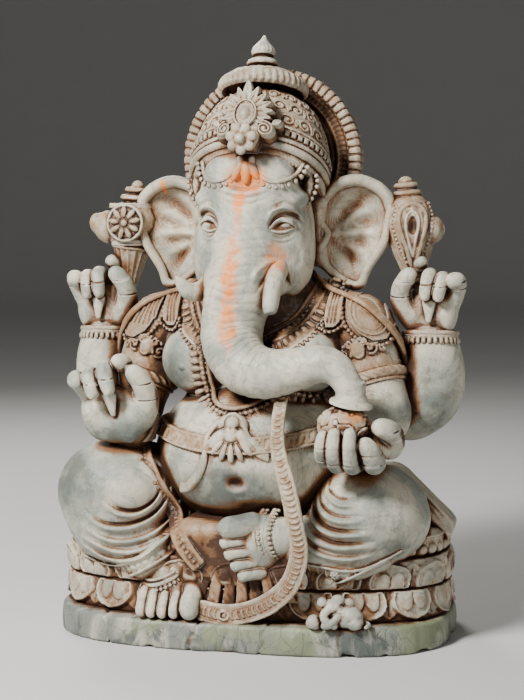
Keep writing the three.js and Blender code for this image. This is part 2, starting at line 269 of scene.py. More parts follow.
def boxy(c, half, round_by=1.0, turn=None):
    c, half = np.array(c, float), np.array(half, float)
    m = rotation(turn) if turn else np.eye(3)
    reach = np.abs(m) @ half

    def fn(x, y, z):
        x, y, z = x - F32(c[0]), y - F32(c[1]), z - F32(c[2])
        if turn:
            x, y, z = (x * F32(m[0][k]) + y * F32(m[1][k]) + z * F32(m[2][k]) for k in range(3))
        q = [np.abs(t) - F32(h - round_by) for t, h in zip((x, y, z), half)]
        out = np.sqrt(np.maximum(q[0], 0) ** 2 + np.maximum(q[1], 0) ** 2 + np.maximum(q[2], 0) ** 2)
        return out + np.minimum(np.maximum(q[0], np.maximum(q[1], q[2])), 0) - F32(round_by)
    return c - reach, c + reach, fn


def frame_of(turn, c):
    """Local coordinates of points about c, in a frame turned by degrees."""
    m = rotation(turn)
    c = np.array(c, float)

    def to(x, y, z):
        x, y, z = x - F32(c[0]), y - F32(c[1]), z - F32(c[2])
        return [x * F32(m[0][k]) + y * F32(m[1][k]) + z * F32(m[2][k]) for k in range(3)]
    return to


def lathe(c, profile, turn=(0, 0, 0), flutes=None):
    """A turned piece about the local z axis: profile is a closed [radius, height] outline."""
    prof = np.array(profile, float)
    reach = max(prof[:, 0].max(), np.abs(prof[:, 1]).max()) + 2
    to = frame_of(turn, c)

    def fn(x, y, z):
        a, b, h = to(x, y, z)
        rho = np.sqrt(a * a + b * b)
        if flutes:
            count, depth, lo, hi = flutes
            wave = np.abs(np.cos(np.arctan2(b, a) * F32(count / 2))) * F32(depth)
            rho = rho + np.where((h > lo) & (h < hi), wave, 0)
        return outline_distance(rho, h, prof)
    return np.array(c) - reach, np.array(c) + reach, fn


def outline_distance(u, v, pts):
    """Signed distance to a closed outline, negative inside."""
    pts = np.asarray(pts, float)
    d = None
    inside = None
    for i in range(len(pts)):
        a, b = pts[i], pts[i - 1]
        e = b - a
        wx, wy = u - F32(a[0]), v - F32(a[1])
        t = np.clip((wx * F32(e[0]) + wy * F32(e[1])) / F32(max(e @ e, 1e-9)), 0, 1)
        bx, by = wx - t * F32(e[0]), wy - t * F32(e[1])
        d2 = bx * bx + by * by
        d = d2 if d is None else np.minimum(d, d2)
        c1, c2 = v >= F32(a[1]), v < F32(b[1])
        c3 = F32(e[0]) * wy > F32(e[1]) * wx
        flip = (c1 & c2 & c3) | (~c1 & ~c2 & ~c3)
        inside = flip if inside is None else inside ^ flip
    d = np.sqrt(d)
    return np.where(inside, -d, d)


def rounded(a, b, r):
    """Where two distances meet, with a round edge."""
    return np.sqrt(np.maximum(a, 0) ** 2 + np.maximum(b, 0) ** 2) + np.minimum(np.maximum(a, b), 0) - r


def outline_on(clay, outline):
    """The clay's grid, and its distances to an outline drawn in x, z."""
    x, y, z = clay.whole()
    return x, y, z, outline_distance(x[:, :, 0] + 0 * z[0], z[0] + 0 * x[:, :, 0], outline)[:, None, :]


def ring(c, radius, thick, turn=(0, 0, 0), squash=1.0):
    to = frame_of(turn, c)
    reach = radius + thick + 1

    def fn(x, y, z):
        a, b, h = to(x, y, z)
        return np.sqrt((np.sqrt(a * a + (b / F32(squash)) ** 2) - F32(radius)) ** 2 + h * h) - F32(thick)
    return np.array(c, float) - reach, np.array(c, float) + reach, fn


# ---- relief: heights in mm drawn on a flat sheet ----

class Relief:
    STEP = 0.5

    def __init__(self, lo, hi):
        self.lo = np.array(lo, float)
        self.n = np.ceil((np.array(hi, float) - self.lo) / self.STEP).astype(int) + 2
        self.h = np.zeros(self.n, F32)

    def _window(self, lo, hi, pad):
        i = np.clip(np.floor((np.array(lo) - pad - self.lo) / self.STEP).astype(int), 0, self.n)
        j = np.clip(np.ceil((np.array(hi) + pad - self.lo) / self.STEP).astype(int) + 1, 0, self.n)
        sl = (slice(i[0], j[0]), slice(i[1], j[1]))
        u = (self.lo[0] + self.STEP * np.arange(i[0], j[0])).astype(F32)[:, None]
        v = (self.lo[1] + self.STEP * np.arange(i[1], j[1])).astype(F32)[None, :]
        return sl, u, v

    def _lay(self, sl, height, sink):
        self.h[sl] = np.minimum(self.h[sl], -height) if sink else np.maximum(self.h[sl], height)

    def line(self, points, width, height, n=None, add=False, taper=False):
        """A rounded ridge of half-width width along a curve; a negative height carves a groove."""
        p = spline(points, n or 8 * len(points))
        sl, u, v = self._window(p.min(0), p.max(0), width + 1)
        best = np.full((u.shape[0], v.shape[1]), FAR, F32)
        size = np.ones_like(best)
        for i in range(len(p) - 1):
            sub, uu, vv = self._window(np.minimum(p[i], p[i + 1]), np.maximum(p[i], p[i + 1]), width + 1)
            rel = tuple(slice(s.start - t.start, s.stop - t.start) for s, t in zip(sub, sl))
            e = p[i + 1] - p[i]
            wx, wy = uu - F32(p[i][0]), vv - F32(p[i][1])
            t = np.clip((wx * F32(e[0]) + wy * F32(e[1])) / F32(max(e @ e, 1e-9)), 0, 1)
            d = np.hypot(wx - t * F32(e[0]), wy - t * F32(e[1]))
            near = d < best[rel]
            best[rel] = np.where(near, d, best[rel])
            if taper:
                share = (i + t) / (len(p) - 1)
                size[rel] = np.where(near, np.sqrt(np.maximum(1 - np.abs(2 * share - 1) ** 2, 0.02)), size[rel])
        w = F32(width) * size
        shape = np.sqrt(np.maximum(1 - (best / w) ** 2, 0)) * size
        if add:
            self.h[sl] += F32(height) * shape
        else:
            self._lay(sl, abs(F32(height)) * shape, height < 0)
        return self

    def soft(self, points, width, height, n=None):
        """A soft swell or furrow along a curve, added to what is there."""
        p = spline(points, n or 8 * len(points))
        sl, u, v = self._window(p.min(0), p.max(0), 2.5 * width)
        best = np.full((u.shape[0], v.shape[1]), FAR, F32)
        fade = np.zeros_like(best)
        for i in range(len(p) - 1):
            e = p[i + 1] - p[i]
            wx, wy = u - F32(p[i][0]), v - F32(p[i][1])
            t = np.clip((wx * F32(e[0]) + wy * F32(e[1])) / F32(max(e @ e, 1e-9)), 0, 1)
            d = np.hypot(wx - t * F32(e[0]), wy - t * F32(e[1]))
            near = d < best
            share = (i + t) / (len(p) - 1)
            best = np.where(near, d, best)
            fade = np.where(near, np.minimum(1, 4 * np.minimum(share, 1 - share) + 0.15), fade)
        self.h[sl] += F32(height) * np.exp(-(best / F32(width)) ** 2) * fade
        return self

    def dots(self, centres, radius, height):
        for c in centres:
            sl, u, v = self._window(c, c, radius + 1)
            r2 = ((u - F32(c[0])) ** 2 + (v - F32(c[1])) ** 2) / F32(radius ** 2)
            self._lay(sl, abs(F32(height)) * np.sqrt(np.maximum(1 - r2, 0)), height < 0)
        return self

    def lens(self, c, ru, rv, height, angle=0.0, power=0.5):
        a = math.radians(angle)
        sl, u, v = self._window(c, c, max(ru, rv) + 1)
        du, dv = u - F32(c[0]), v - F32(c[1])
        p = (du * F32(math.cos(a)) + dv * F32(math.sin(a))) / F32(ru)
        q = (-du * F32(math.sin(a)) + dv * F32(math.cos(a))) / F32(rv)
        self._lay(sl, abs(F32(height)) * np.maximum(1 - p * p - q * q, 0) ** F32(power), height < 0)
        return self

    def plate(self, outline, height, edge=1.2, rim=0.0, rim_width=1.0, dome=0.0):
        """Raises an outline to a height with a soft edge, an optional raised rim and domed middle."""
        pts = np.array(outline, float)
        sl, u, v = self._window(pts.min(0), pts.max(0), 2)
        d = outline_distance(u + 0 * v, v + 0 * u, pts)
        rise = np.clip(-d / F32(edge), 0, 1)
        rise = rise * (2 - rise)
        h = F32(height) * rise
        if dome:
            h = h + F32(dome) * np.sqrt(np.clip(-d / F32(max(-d.min(), 1e-3)), 0, 1))
        if rim:
            h = h + F32(rim) * np.exp(-((d + F32(rim_width * 1.2)) / F32(rim_width)) ** 2) * (d < 0)
        self._lay(sl, h, False)
        return self

    def petal(self, base, angle, length, width, height, rim=0.6, groove=0.5, power=1.0):
        """A leaf from a base point, pointing along an angle in degrees."""
        a = math.radians(angle)
        t = np.linspace(0, 1, 9)
        half = width / 2 * np.sin(np.pi * t ** power) ** 0.8
        pts = [(length * s, w) for s, w in zip(t, half)] + [(length * s, -w) for s, w in zip(t[::-1], half[::-1])]
        pts = [(base[0] + x * math.cos(a) - y * math.sin(a), base[1] + x * math.sin(a) + y * math.cos(a))
               for x, y in pts]
        self.plate(pts, height, edge=max(0.9, width * 0.16), rim=rim, rim_width=0.8)
        if groove:
            mid = [(base[0] + s * length * math.cos(a), base[1] + s * length * math.sin(a)) for s in (0.15, 0.8)]
            self.line([mid[0], mid[1]], 0.6, -groove, n=4, add=True)
        return self

    def scroll(self, c, radius, turns, width, height, start=0.0, sense=1):
        """A spiral ridge winding in to its centre, with a bead in the eye."""
        t = np.linspace(0, 1, max(10, int(turns * 14)))
        a = math.radians(start) + sense * 2 * np.pi * turns * t
        r = radius * (1 - 0.82 * t)
        self.line(np.stack([c[0] + r * np.cos(a), c[1] + r * np.sin(a)], 1), width, height, n=len(t) * 2)
        self.dots([c], width * 1.3, height * 1.1)
        return self

    def flower(self, c, radius, petals, height, start=0.0, boss=None):
        for k in range(petals):
            a = math.radians(start + 360 * k / petals)
            mid = (c[0] + 0.62 * radius * math.cos(a), c[1] + 0.62 * radius * math.sin(a))
            self.lens(mid, radius * 0.4, radius * math.sin(math.pi / petals) * 0.66, height,
                      math.degrees(a), 0.6)
        boss = boss or radius * 0.28
        self.dots([c], boss, height * 1.35)
        return self

    def read(self, u, v):
        i = np.clip(((u - F32(self.lo[0])) / F32(self.STEP)), 0, self.n[0] - 1.001)
        j = np.clip(((v - F32(self.lo[1])) / F32(self.STEP)), 0, self.n[1] - 1.001)
        i, j = np.broadcast_arrays(i, j)
        i0, j0 = i.astype(np.int32), j.astype(np.int32)
        f, g = i - i0, j - j0
        h = self.h
        top = h[i0, j0] * (1 - g) + h[i0, j0 + 1] * g
        low = h[i0 + 1, j0] * (1 - g) + h[i0 + 1, j0 + 1] * g
        return top * (1 - f) + low * f


def arc(c, radius, start, end, n=9, squash=1.0):
    a = np.radians(np.linspace(start, end, n))
    return [(c[0] + radius * math.cos(t), c[1] + squash * radius * math.sin(t)) for t in a]


# ---- surface coordinates and noise ----

LATTICE = np.random.default_rng(7).random((48, 48, 48)).astype(F32)


def noise3(p, size, seed=0):
    """Smooth noise in -1..1 at points in mm, with lumps about size mm across."""
    q = p / size + seed * 7.31 + 1000
    i = np.floor(q).astype(int)
    f = (q - i).astype(F32)
    f = f * f * (3 - 2 * f)
    i, j = i % 48, (i + 1) % 48
    total = 0
    for a, wx in ((i[:, 0], 1 - f[:, 0]), (j[:, 0], f[:, 0])):
        for b, wy in ((i[:, 1], 1 - f[:, 1]), (j[:, 1], f[:, 1])):
            for c, wz in ((i[:, 2], 1 - f[:, 2]), (j[:, 2], f[:, 2])):
                total = total + LATTICE[a, b, c] * wx * wy * wz
    return total * 2 - 1


BAND = 7.0


def on_surface(clay, lo, hi, height):
    """Raises the clay by height(points) in mm, for the grid points near its surface inside a block."""
    sl, x, y, z = clay.block(lo, hi, 0)
    sub = clay.d[sl]
    at = np.nonzero(np.abs(sub) < BAND)
    p = np.stack([x[at[0], 0, 0], y[0, at[1], 0], z[0, 0, at[2]]], 1)
    if len(p):
        sub[at] -= height(p).astype(F32)
    return clay


def everywhere(clay, height):
    return on_surface(clay, clay.lo, clay.lo + clay.v * clay.n, height)


def press(clay, relief, lo, hi, fade=5.0):
    """Presses a relief drawn in x, z onto the side facing the viewer."""
    def height(p):
        return relief.read(p[:, 0], p[:, 2]) * np.clip((hi[1] - p[:, 1]) / fade, 0, 1)
    return on_surface(clay, lo, hi, height)


def weather(clay, amount=0.35, size=11.0, seed=1):
    return everywhere(clay, lambda p: amount * noise3(p, size, seed)
                      + 0.45 * amount * noise3(p, size * 0.37, seed + 1))


def along_path(p, path):
    """For points, the length along a path and the nearest path point."""
    path = np.array(path, float)
    steps = np.linalg.norm(np.diff(path, axis=0), axis=1)
    start = np.concatenate([[0], np.cumsum(steps)])
    best = np.full(len(p), FAR)
    s = np.zeros(len(p))
    near = np.zeros_like(p)
    for i in range(len(path) - 1):
        e = path[i + 1] - path[i]
        t = np.clip(((p - path[i]) @ e) / (e @ e), 0, 1)
        q = path[i] + t[:, None] * e
        d = np.linalg.norm(p - q, axis=1)
        m = d < best
        best[m], s[m], near[m] = d[m], (start[i] + t * steps[i])[m], q[m]
    return s, near


def folded(clay, point, normal, sink=0.12, end=7.0):
    """Sinks the clay beyond a plane, so that the next piece's skin takes over there without a step."""
    n = np.array(normal, float)
    n /= np.linalg.norm(n)
    x, y, z = clay.whole()
    t = (x - F32(point[0])) * F32(n[0]) + (y - F32(point[1])) * F32(n[1]) + (z - F32(point[2])) * F32(n[2])
    clay.d = np.maximum(clay.d + F32(sink) * np.maximum(t, 0) ** 2, t - F32(end))
    return clay


def flipped(clay):
    """A mirrored copy of clay."""
    out = object.__new__(Clay)
    out.v, out.n = clay.v, clay.n.copy()
    out.d = clay.d[::-1].copy()
    out.lo = vec(-(clay.lo[0] + clay.v * (clay.n[0] - 1)), clay.lo[1], clay.lo[2])
    out.axis = [(out.lo[k] + out.v * np.arange(out.n[k])).astype(F32) for k in range(3)]
    return out


def beads(points, radius, squash=1.0):
    return [egg(p, (radius, radius * squash, radius)) for p in points]


def beads_on(clay, xz, radius, gap=None, lift=0.0):
    line = clay.front(along(xz, gap or radius * 2.05))
    return [egg((x, y - lift, z), (radius, radius, radius)) for x, y, z in line]


def smoothed(line, rounds=4):
    p = np.array(line, float)
    for _ in range(rounds):
        p[1:-1] = (p[:-2] + 2 * p[1:-1] + p[2:]) / 4
    return p


def draped(clay, xz, gap, rounds):
    """A curve in x, z laid on the side that faces the viewer, and smoothed."""
    return smoothed(clay.front(along(xz, gap)), rounds)


def sideways(line):
    """Unit vectors across a line, in the plane that faces the viewer."""
    t = np.gradient(line, axis=0)
    n = np.stack([-t[:, 2], np.zeros(len(t)), t[:, 0]], 1)
    return n / np.maximum(np.linalg.norm(n, axis=1), 1e-6)[:, None]


# ---- the body's base forms, shared by the pieces that lie on them ----

def form_torso(c):
    c.add(egg((0, 30, 138), (104, 66, 50)))
    c.add(egg((0, -20, 178), (98, 90, 76)), 18)
    c.add(egg((0, 8, 270), (88, 53, 66)), 20)
    for side in (-1, 1):
        c.add(egg((side * 47, -32, 268), (43, 38, 37), (0, side * -18, 0)), 7)
        c.add(egg((side * 62, 4, 300), (42, 38, 34)), 16)
        c.add(egg((side * 40, 8, 326), (34, 30, 22)), 12)
    c.add(bone((0, 6, 300), 48, (-1, 6, 352), 47), 14)
    return c


def form_head(c):
    c.add(egg((0, -4, 402), (56, 60, 70)))
    for side in (-1, 1):
        c.add(egg((side * 37, -22, 372), (23, 33, 40)), 14)
        c.add(egg((side * 22, -38, 440), (26, 24, 26)), 10)
        c.add(egg((side * 37, -30, 425), (20, 22, 12), (0, side * -14, 0)), 8)
    c.add(bone((0, -30, 404), 38, (-3, -56, 348), 34), 16)
    return c


TRUNK = [(-4, -60, 344, 31.5), (-8, -70, 312, 29.5), (-7, -78, 290, 28), (6, -91, 271, 26), (31, -100, 263, 23),
         (61, -106, 268, 19), (86, -109, 274, 16.5), (102, -111, 269, 14), (111, -112, 258, 12.2),
         (115, -112, 249, 11.6)]


def form_trunk(c):
    c.add(tube(TRUNK, 40), 3)
    return c


def like(clay):
    """Empty clay on the same grid."""
    out = object.__new__(Clay)
    out.v, out.n, out.lo, out.axis = clay.v, clay.n.copy(), clay.lo.copy(), clay.axis
    out.d = np.full(clay.n, FAR, F32)
    return out


# ---- base ----

def oval_map(half_width, half_depth, power):
    """(distance outward, arc position) round a squared oval, for points in plan."""
    a = np.linspace(-np.pi, np.pi, 721)
    r = (np.abs(np.cos(a) / half_width) ** power + np.abs(np.sin(a) / half_depth) ** power) ** (-1 / power)
    ring_xy = np.stack([r * np.cos(a), r * np.sin(a)], 1)
    arc_at = np.concatenate([[0], np.cumsum(np.linalg.norm(np.diff(ring_xy, axis=0), axis=1))])

    def distance(x, y):
        q = (np.abs(x / F32(half_width)) ** F32(power) + np.abs(y / F32(half_depth)) ** F32(power))
        f = np.maximum(q, F32(1e-6)) ** F32(1 / power)
        gx = np.abs(x) ** F32(power - 1) / F32(half_width ** power)
        gy = np.abs(y) ** F32(power - 1) / F32(half_depth ** power)
        slope = np.sqrt(gx * gx + gy * gy) * np.maximum(q, F32(1e-6)) ** F32(1 / power - 1)
        return (f - 1) / np.maximum(slope, F32(1e-4))

    def around(x, y):
        return np.interp(np.arctan2(y, x), a, arc_at)
    return distance, around, arc_at[-1]


def ring_slab(half_width, half_depth, power, z0, z1, swell, round_by, voxel=1.5):
    """A squared oval drum; swell(t) widens it by mm at height share t."""
    dist, around, total = oval_map(half_width, half_depth, power)
    c = Clay((-half_width - 8, -half_depth - 8, z0 - 3), (half_width + 8, half_depth + 8, z1 + 3), voxel)
    x, y, z = c.whole()
    d2 = dist(x, y)
    t = np.clip((z - z0) / (z1 - z0), 0, 1)
    side = d2 - swell(t).astype(F32) + F32(round_by)
    top = np.abs(z - (z0 + z1) / 2) - (z1 - z0) / 2 + round_by
    c.d = rounded(side, top, round_by).astype(F32)
    return c, around, total


def wrap(clay, relief, around, z0, z1, period):
    """Presses a relief drawn in arc length, height round a drum."""
    lo = (clay.lo[0], clay.lo[1], z0)
    hi = (-clay.lo[0], -clay.lo[1], z1)

    def height(p):
        return relief.read(np.mod(around(p[:, 0], p[:, 1]), period), p[:, 2])
    return on_surface(clay, lo, hi, height)


def build_slab():
    c, _, _ = ring_slab(195.5, 122.5, 2.9, 0, SLAB_TOP, lambda t: 1.5 - 2.5 * t ** 4, 3.0, 1.6)

    def rough(p):
        chips = np.minimum(0, noise3(p, 16, 3) + 0.25) * 6 * np.clip((10 - p[:, 2]) / 8, 0, 1)
        streak = noise3(p * [1, 1, 0.25], 8, 5) * 0.5
        crack = 0
        for x0, x1 in ((-40, -29), (30, 38), (110, 104), (-120, -128)):
            x = x0 + (x1 - x0) * p[:, 2] / SLAB_TOP + 2.5 * noise3(p, 9, 9)
            crack = crack - 2.2 * np.exp(-((p[:, 0] - x) / 1.1) ** 2) * (p[:, 1] < 0)
        return (chips + streak + crack) * (p[:, 2] > 1.5)
    everywhere(c, rough)
    c.stand(0.4)
    return c


def leaf_outline(w, h, z0, up, points=11):
    """A pointed lotus leaf standing on z0, w wide and h high; up is 1 or -1."""
    t = np.linspace(0, 1, points)
    half = w / 2 * np.clip(1 - t ** 3.2, 0, 1) ** 0.5 * (0.86 + 0.14 * np.sin(np.pi * t))
    left = [(-a, z0 + up * h * b) for a, b in zip(half, t)]
    return left + [(a, z0 + up * h * b) for a, b in zip(half[::-1], t[::-1])]


def build_lotus(z0, z1, up, half_width=188, half_depth=97, count=20, phase=0.0):
    """One ring of carved lotus leaves: a framed leaf with a lobed heart inside, and tips between the leaves."""
    swell = (lambda t: 5 * t ** 0.7) if up > 0 else (lambda t: 5 - 5 * t)
    c, around, total = ring_slab(half_width, half_depth, 2.6, z0, z1, swell, 3.0, 1.2)
    period = total / count
    r = Relief((0, z0 - 2), (period, z1 + 2))
    h = z1 - z0
    base = z0 if up > 0 else z1

    def leaf(mid, w, hh, rise, rim):
        pts = [(mid + a, b) for a, b in leaf_outline(w, hh, base, up)]
        r.plate(pts, rise, edge=2.0, rim=rim, rim_width=1.3)
    for mid in (0, period):
        leaf(mid, period * 0.5, h * 0.94, 1.4, 0.6)
        r.line([(mid, base + up * 3), (mid, base + up * h * 0.8)], 0.9, -1.2, n=6, add=True)
    leaf(period / 2, period * 0.93, h * 0.95, 3.4, 2.4)
    for side in (-1, 1):
        heart = [(period / 2 + side * period * 0.15 + a, b)
                 for a, b in leaf_outline(period * 0.34, h * 0.66, base + up * h * 0.02, up)]
        r.plate(heart, 4.2, edge=2.0, dome=2.2)
    wrap(c, r, lambda x, y: around(x, y) + phase * period, z0, z1, period)
    return weather(c, 0.5, 9, 4)


def build_cushion():
    """The seat's rolled top with hanging leaf tips round its edge."""
    c, around, total = ring_slab(186, 93, 2.6, 86, 111,
                                 lambda t: 3.5 * np.clip(np.sin(np.pi * t), 0, 1) ** 0.7, 6.0, 1.2)
    period = total / 34
    r = Relief((0, 84), (period, 113))
    r.line([(-1, 105), (period + 1, 105)], 1.6, 2.2, n=4)
    r.line([(-1, 99), (period + 1, 99)], 0.8, -0.8, n=4)
    for mid in (0, period / 2, period):
        r.lens((mid, 92), period * 0.22, 6.5, 4.2, 0, 0.45)
    r.dots([(period / 4, 97), (3 * period / 4, 97)], 1.6, 1.4)
    wrap(c, r, around, 86, 111, period)

    def puckers(p):
        s = around(p[:, 0], p[:, 1])
        return 0.7 * np.sin(s / 5.2) * np.clip((p[:, 2] - 104) / 4, 0, 1)
    everywhere(c, puckers)
    return weather(c, 0.6, 12, 6)


# ---- torso, belt, necklaces ----

def build_torso():
    c = form_torso(Clay((-112, -118, 86), (112, 104, 352), 1.25))
    r = Relief((-110, 100), (110, 350))
    r.soft([(-84, 246), (-62, 236), (-36, 240), (-12, 250)], 5, -2.8)
    r.soft([(84, 246), (62, 238), (40, 240), (14, 250)], 5, -2.8)
    r.soft([(0, 300), (0, 275), (0, 256)], 6, -1.8)
    r.soft([(-60, 142), (-44, 128), (-22, 120), (0, 117), (24, 120), (46, 128)], 6, -2.4)
    r.soft([(-70, 172), (-40, 168), (0, 172), (40, 168), (70, 172)], 9, 0.9)
    press(c, r, (-110, -118, 100), (110, 0, 350))
    c.cut(egg((3, -112, 159), (8.5, 13, 5.5)), 7)
    for side in (-1, 1):
        c.add(ball((side * 60, c.depth(side * 60, 265) - 0.3, 265), 2.6), 2.0)
    return weather(c, 0.35, 14, 8)


def base_torso():
    """The torso's plain form, ready for what lies on it."""
    return form_torso(Clay((-112, -122, 160), (112, 80, 352), 1.0))


def overlay_shell(clay, thick, region, inner=2.0):
    """Only a skin of the clay: thick(points) mm proud where region(points) is negative."""
    x, y, z = clay.whole()
    at = np.nonzero(np.abs(clay.d) < BAND + inner)
    p = np.stack([x[at[0], 0, 0], y[0, at[1], 0], z[0, 0, at[2]]], 1)
    d = clay.d[at]
    out = np.full_like(clay.d, FAR)
    shell = np.maximum(d - thick(p), -(d + inner))
    out[at] = np.maximum(shell, region(p))
    clay.d = out
    return clay


def build_belt():
    """A flat band round the belly with raised edges and a row of leaves."""
    c = form_torso(Clay((-112, -126, 170), (112, 90, 224), 0.9))

    def level(p):
        """0 at the band's middle line, +-1 at its edges."""
        mid = 194.5 + 14.5 * (np.abs(p[:, 0]) / 100) ** 2
        return (p[:, 2] - mid) / 8.2

    def thick(p):
        v = level(p)
        s = np.arctan2(p[:, 0], 90 - p[:, 1]) * 120
        rims = 1.1 * np.exp(-((np.abs(v) - 0.82) / 0.13) ** 2)
        u = np.mod(s, 9.0) - 4.5
        leaf = 1.0 * np.clip(1 - ((u - 2.6 * v) / 2.4) ** 2, 0, 1) ** 0.5 * (np.abs(v) < 0.62)
        chevron = 0.5 * np.clip(1 - (np.abs(np.abs(u) - 3.9) / 0.7) ** 2, 0, 1) * (np.abs(v) < 0.62)
        return 3.2 + 1.3 * rims + 1.5 * leaf + 1.6 * chevron
    overlay_shell(c, thick, lambda p: (np.abs(level(p)) - 1) * 8.2)
    return weather(c, 0.25, 8, 10)


def build_knot():
    """The belt's sash, tied in petals round a boss, with two tails falling beside the navel."""
    base = form_torso(Clay((-70, -130, 140), (50, 0, 236), 1.0))
    c = Clay((-62, -135, 142), (46, -60, 238), 0.75)
    pads = [((0, 203), 14, 16, 0), ((-13, 200), 11, 17, 42), ((13, 200), 11, 17, -42),
            ((-9, 214), 9, 13, 20), ((9, 214), 9, 13, -20)]
    for (x, z), w, h, turn in pads:
        y = base.depth(x, z)
        c.add(egg((x, y - 2.5, z), (w * 0.62, 6, h * 0.72), (0, turn, 0)), 1.2)
    y = base.depth(1, 215)
    c.add(ball((1, y - 7, 216), 7.0), 1.0)
    c.add(ring((1, y - 6.5, 216), 8.6, 1.5, (90, 0, 0)), 0.8)
    for k in range(7):
        a = math.radians(-64 + k * 128 / 6 - 90)
        x, z = 1 + 20 * math.cos(a), 208 + 20 * math.sin(a)
        y = base.depth(x, z)
        c.add(egg((x, y - 3, z), (3.6, 4.2, 9.5), (0, -math.degrees(a) - 90, 0)), 0.8)
    tails = ([(-5, 217), (-17, 210), (-25, 195), (-26, 178), (-36, 162), (-46, 152), (-54, 151)],
             [(9, 214), (14, 202), (24, 191), (34, 186)])
    for tail in tails:
        line = draped(base, tail, 3.0, 4)
        for off in (-3.2, 0, 3.2):
            q = line + np.array([0, -1.6, off])
            c.add(rope(q, 2.7), 1.2)
    return weather(c, 0.25, 6, 11)


def build_collar():
    """A broad collar of plain bands, beads and hanging leaves, seen on both sides of the trunk."""
    base = base_torso()
    c = Clay((-94, -78, 250), (94, 60, 352), 0.8)
    rows = [(0, 'cord', 3.0), (6, 'bead', 2.6), (12, 'cord', 2.6), (19, 'drop', 4.0), (27, 'bead', 2.2)]
    spread = [(-62, 346), (-60, 322), (-48, 304), (-24, 290), (0, 285), (24, 290), (48, 302), (62, 322), (70, 348)]
    middle = vec(0, 345)
    for out, kind, size in rows:
        xz = [tuple(vec(*p) + (vec(*p) - middle) / max(np.linalg.norm(vec(*p) - middle), 1) * (out - 10))
              for p in spread]
        if kind == 'cord':
            line = draped(base, xz, 3.0, 6) + vec(0, -1.8, 0)
            c.add(rope(line, size), 0.5)
        elif kind == 'bead':
            c.add(beads(draped(base, xz, size * 2.05, 3) + vec(0, -2.2, 0), size, 0.9), 0.3)
        else:
            line = draped(base, xz, 6.6, 3)
            for i in range(len(line)):
                t = line[min(i + 1, len(line) - 1)] - line[max(i - 1, 0)]
                turn = math.degrees(math.atan2(t[2], t[0]))
                c.add(egg(line[i] + vec(0, -2.2, 0), (3.1, 3.2, 5.6), (0, -turn, 0)), 0.3)
    sheet = form_torso(like(c))
    inner = [(-66, 352), (-74, 330), (-66, 300), (-44, 282), (0, 270), (42, 279), (64, 296), (78, 322), (84, 352)]

    def region(p):
        return outline_distance(p[:, 0], p[:, 2], inner + [(0, 360)])
    overlay_shell(sheet, lambda p: 1.6 + 0 * p[:, 0], lambda p: np.maximum(region(p), p[:, 1] - 20))
    c.d = smooth_min(c.d, sheet.d, 0.8)
    return weather(c, 0.2, 6, 12)


def build_long_necklace():
    """A long beaded loop that falls behind the trunk, with a scalloped fringe where it turns."""
    base = base_torso()
    c = Clay((-80, -118, 208), (98, -20, 328), 0.75)
    left = [(-62, 326), (-58, 314), (-46, 298), (-40, 279), (-38, 259), (-35, 241), (-24, 228), (-2, 222)]
    right = [(-2, 222), (20, 228), (38, 240), (50, 242), (60, 238), (73, 238), (84, 244)]
    path = left + right[1:]
    line = draped(base, path, 2.4, 6)
    for off, size in ((0.0, 3.0), (6.0, 2.4)):
        q = line + sideways(line) * off + vec(0, -1.8, 0)
        if off:
            c.add(rope(q, size), 0.5)
        else:
            c.add(beads(q[::2], size), 0.3)
    t, n = np.gradient(line, axis=0), sideways(line)
    for i in range(1, len(line), 3):
        turn = math.degrees(math.atan2(t[i][2], t[i][0]))
        c.add(egg(line[i] - n[i] * 6.8 + vec(0, -1.2, 0), (3.5, 3.4, 6.4), (0, -turn, 0)), 0.4)
    return weather(c, 0.2, 6, 13)


# ---- head ----

def tusk_sheath(r):
    """The swollen lip round the left tusk, shared by the head and the trunk."""
    r.soft([(16, 344), (20, 358), (31, 367), (42, 361), (47, 345)], 3.2, 2.8)
    r.soft([(19, 338), (24, 350), (31, 356), (39, 352), (43, 340)], 1.5, -2.0)


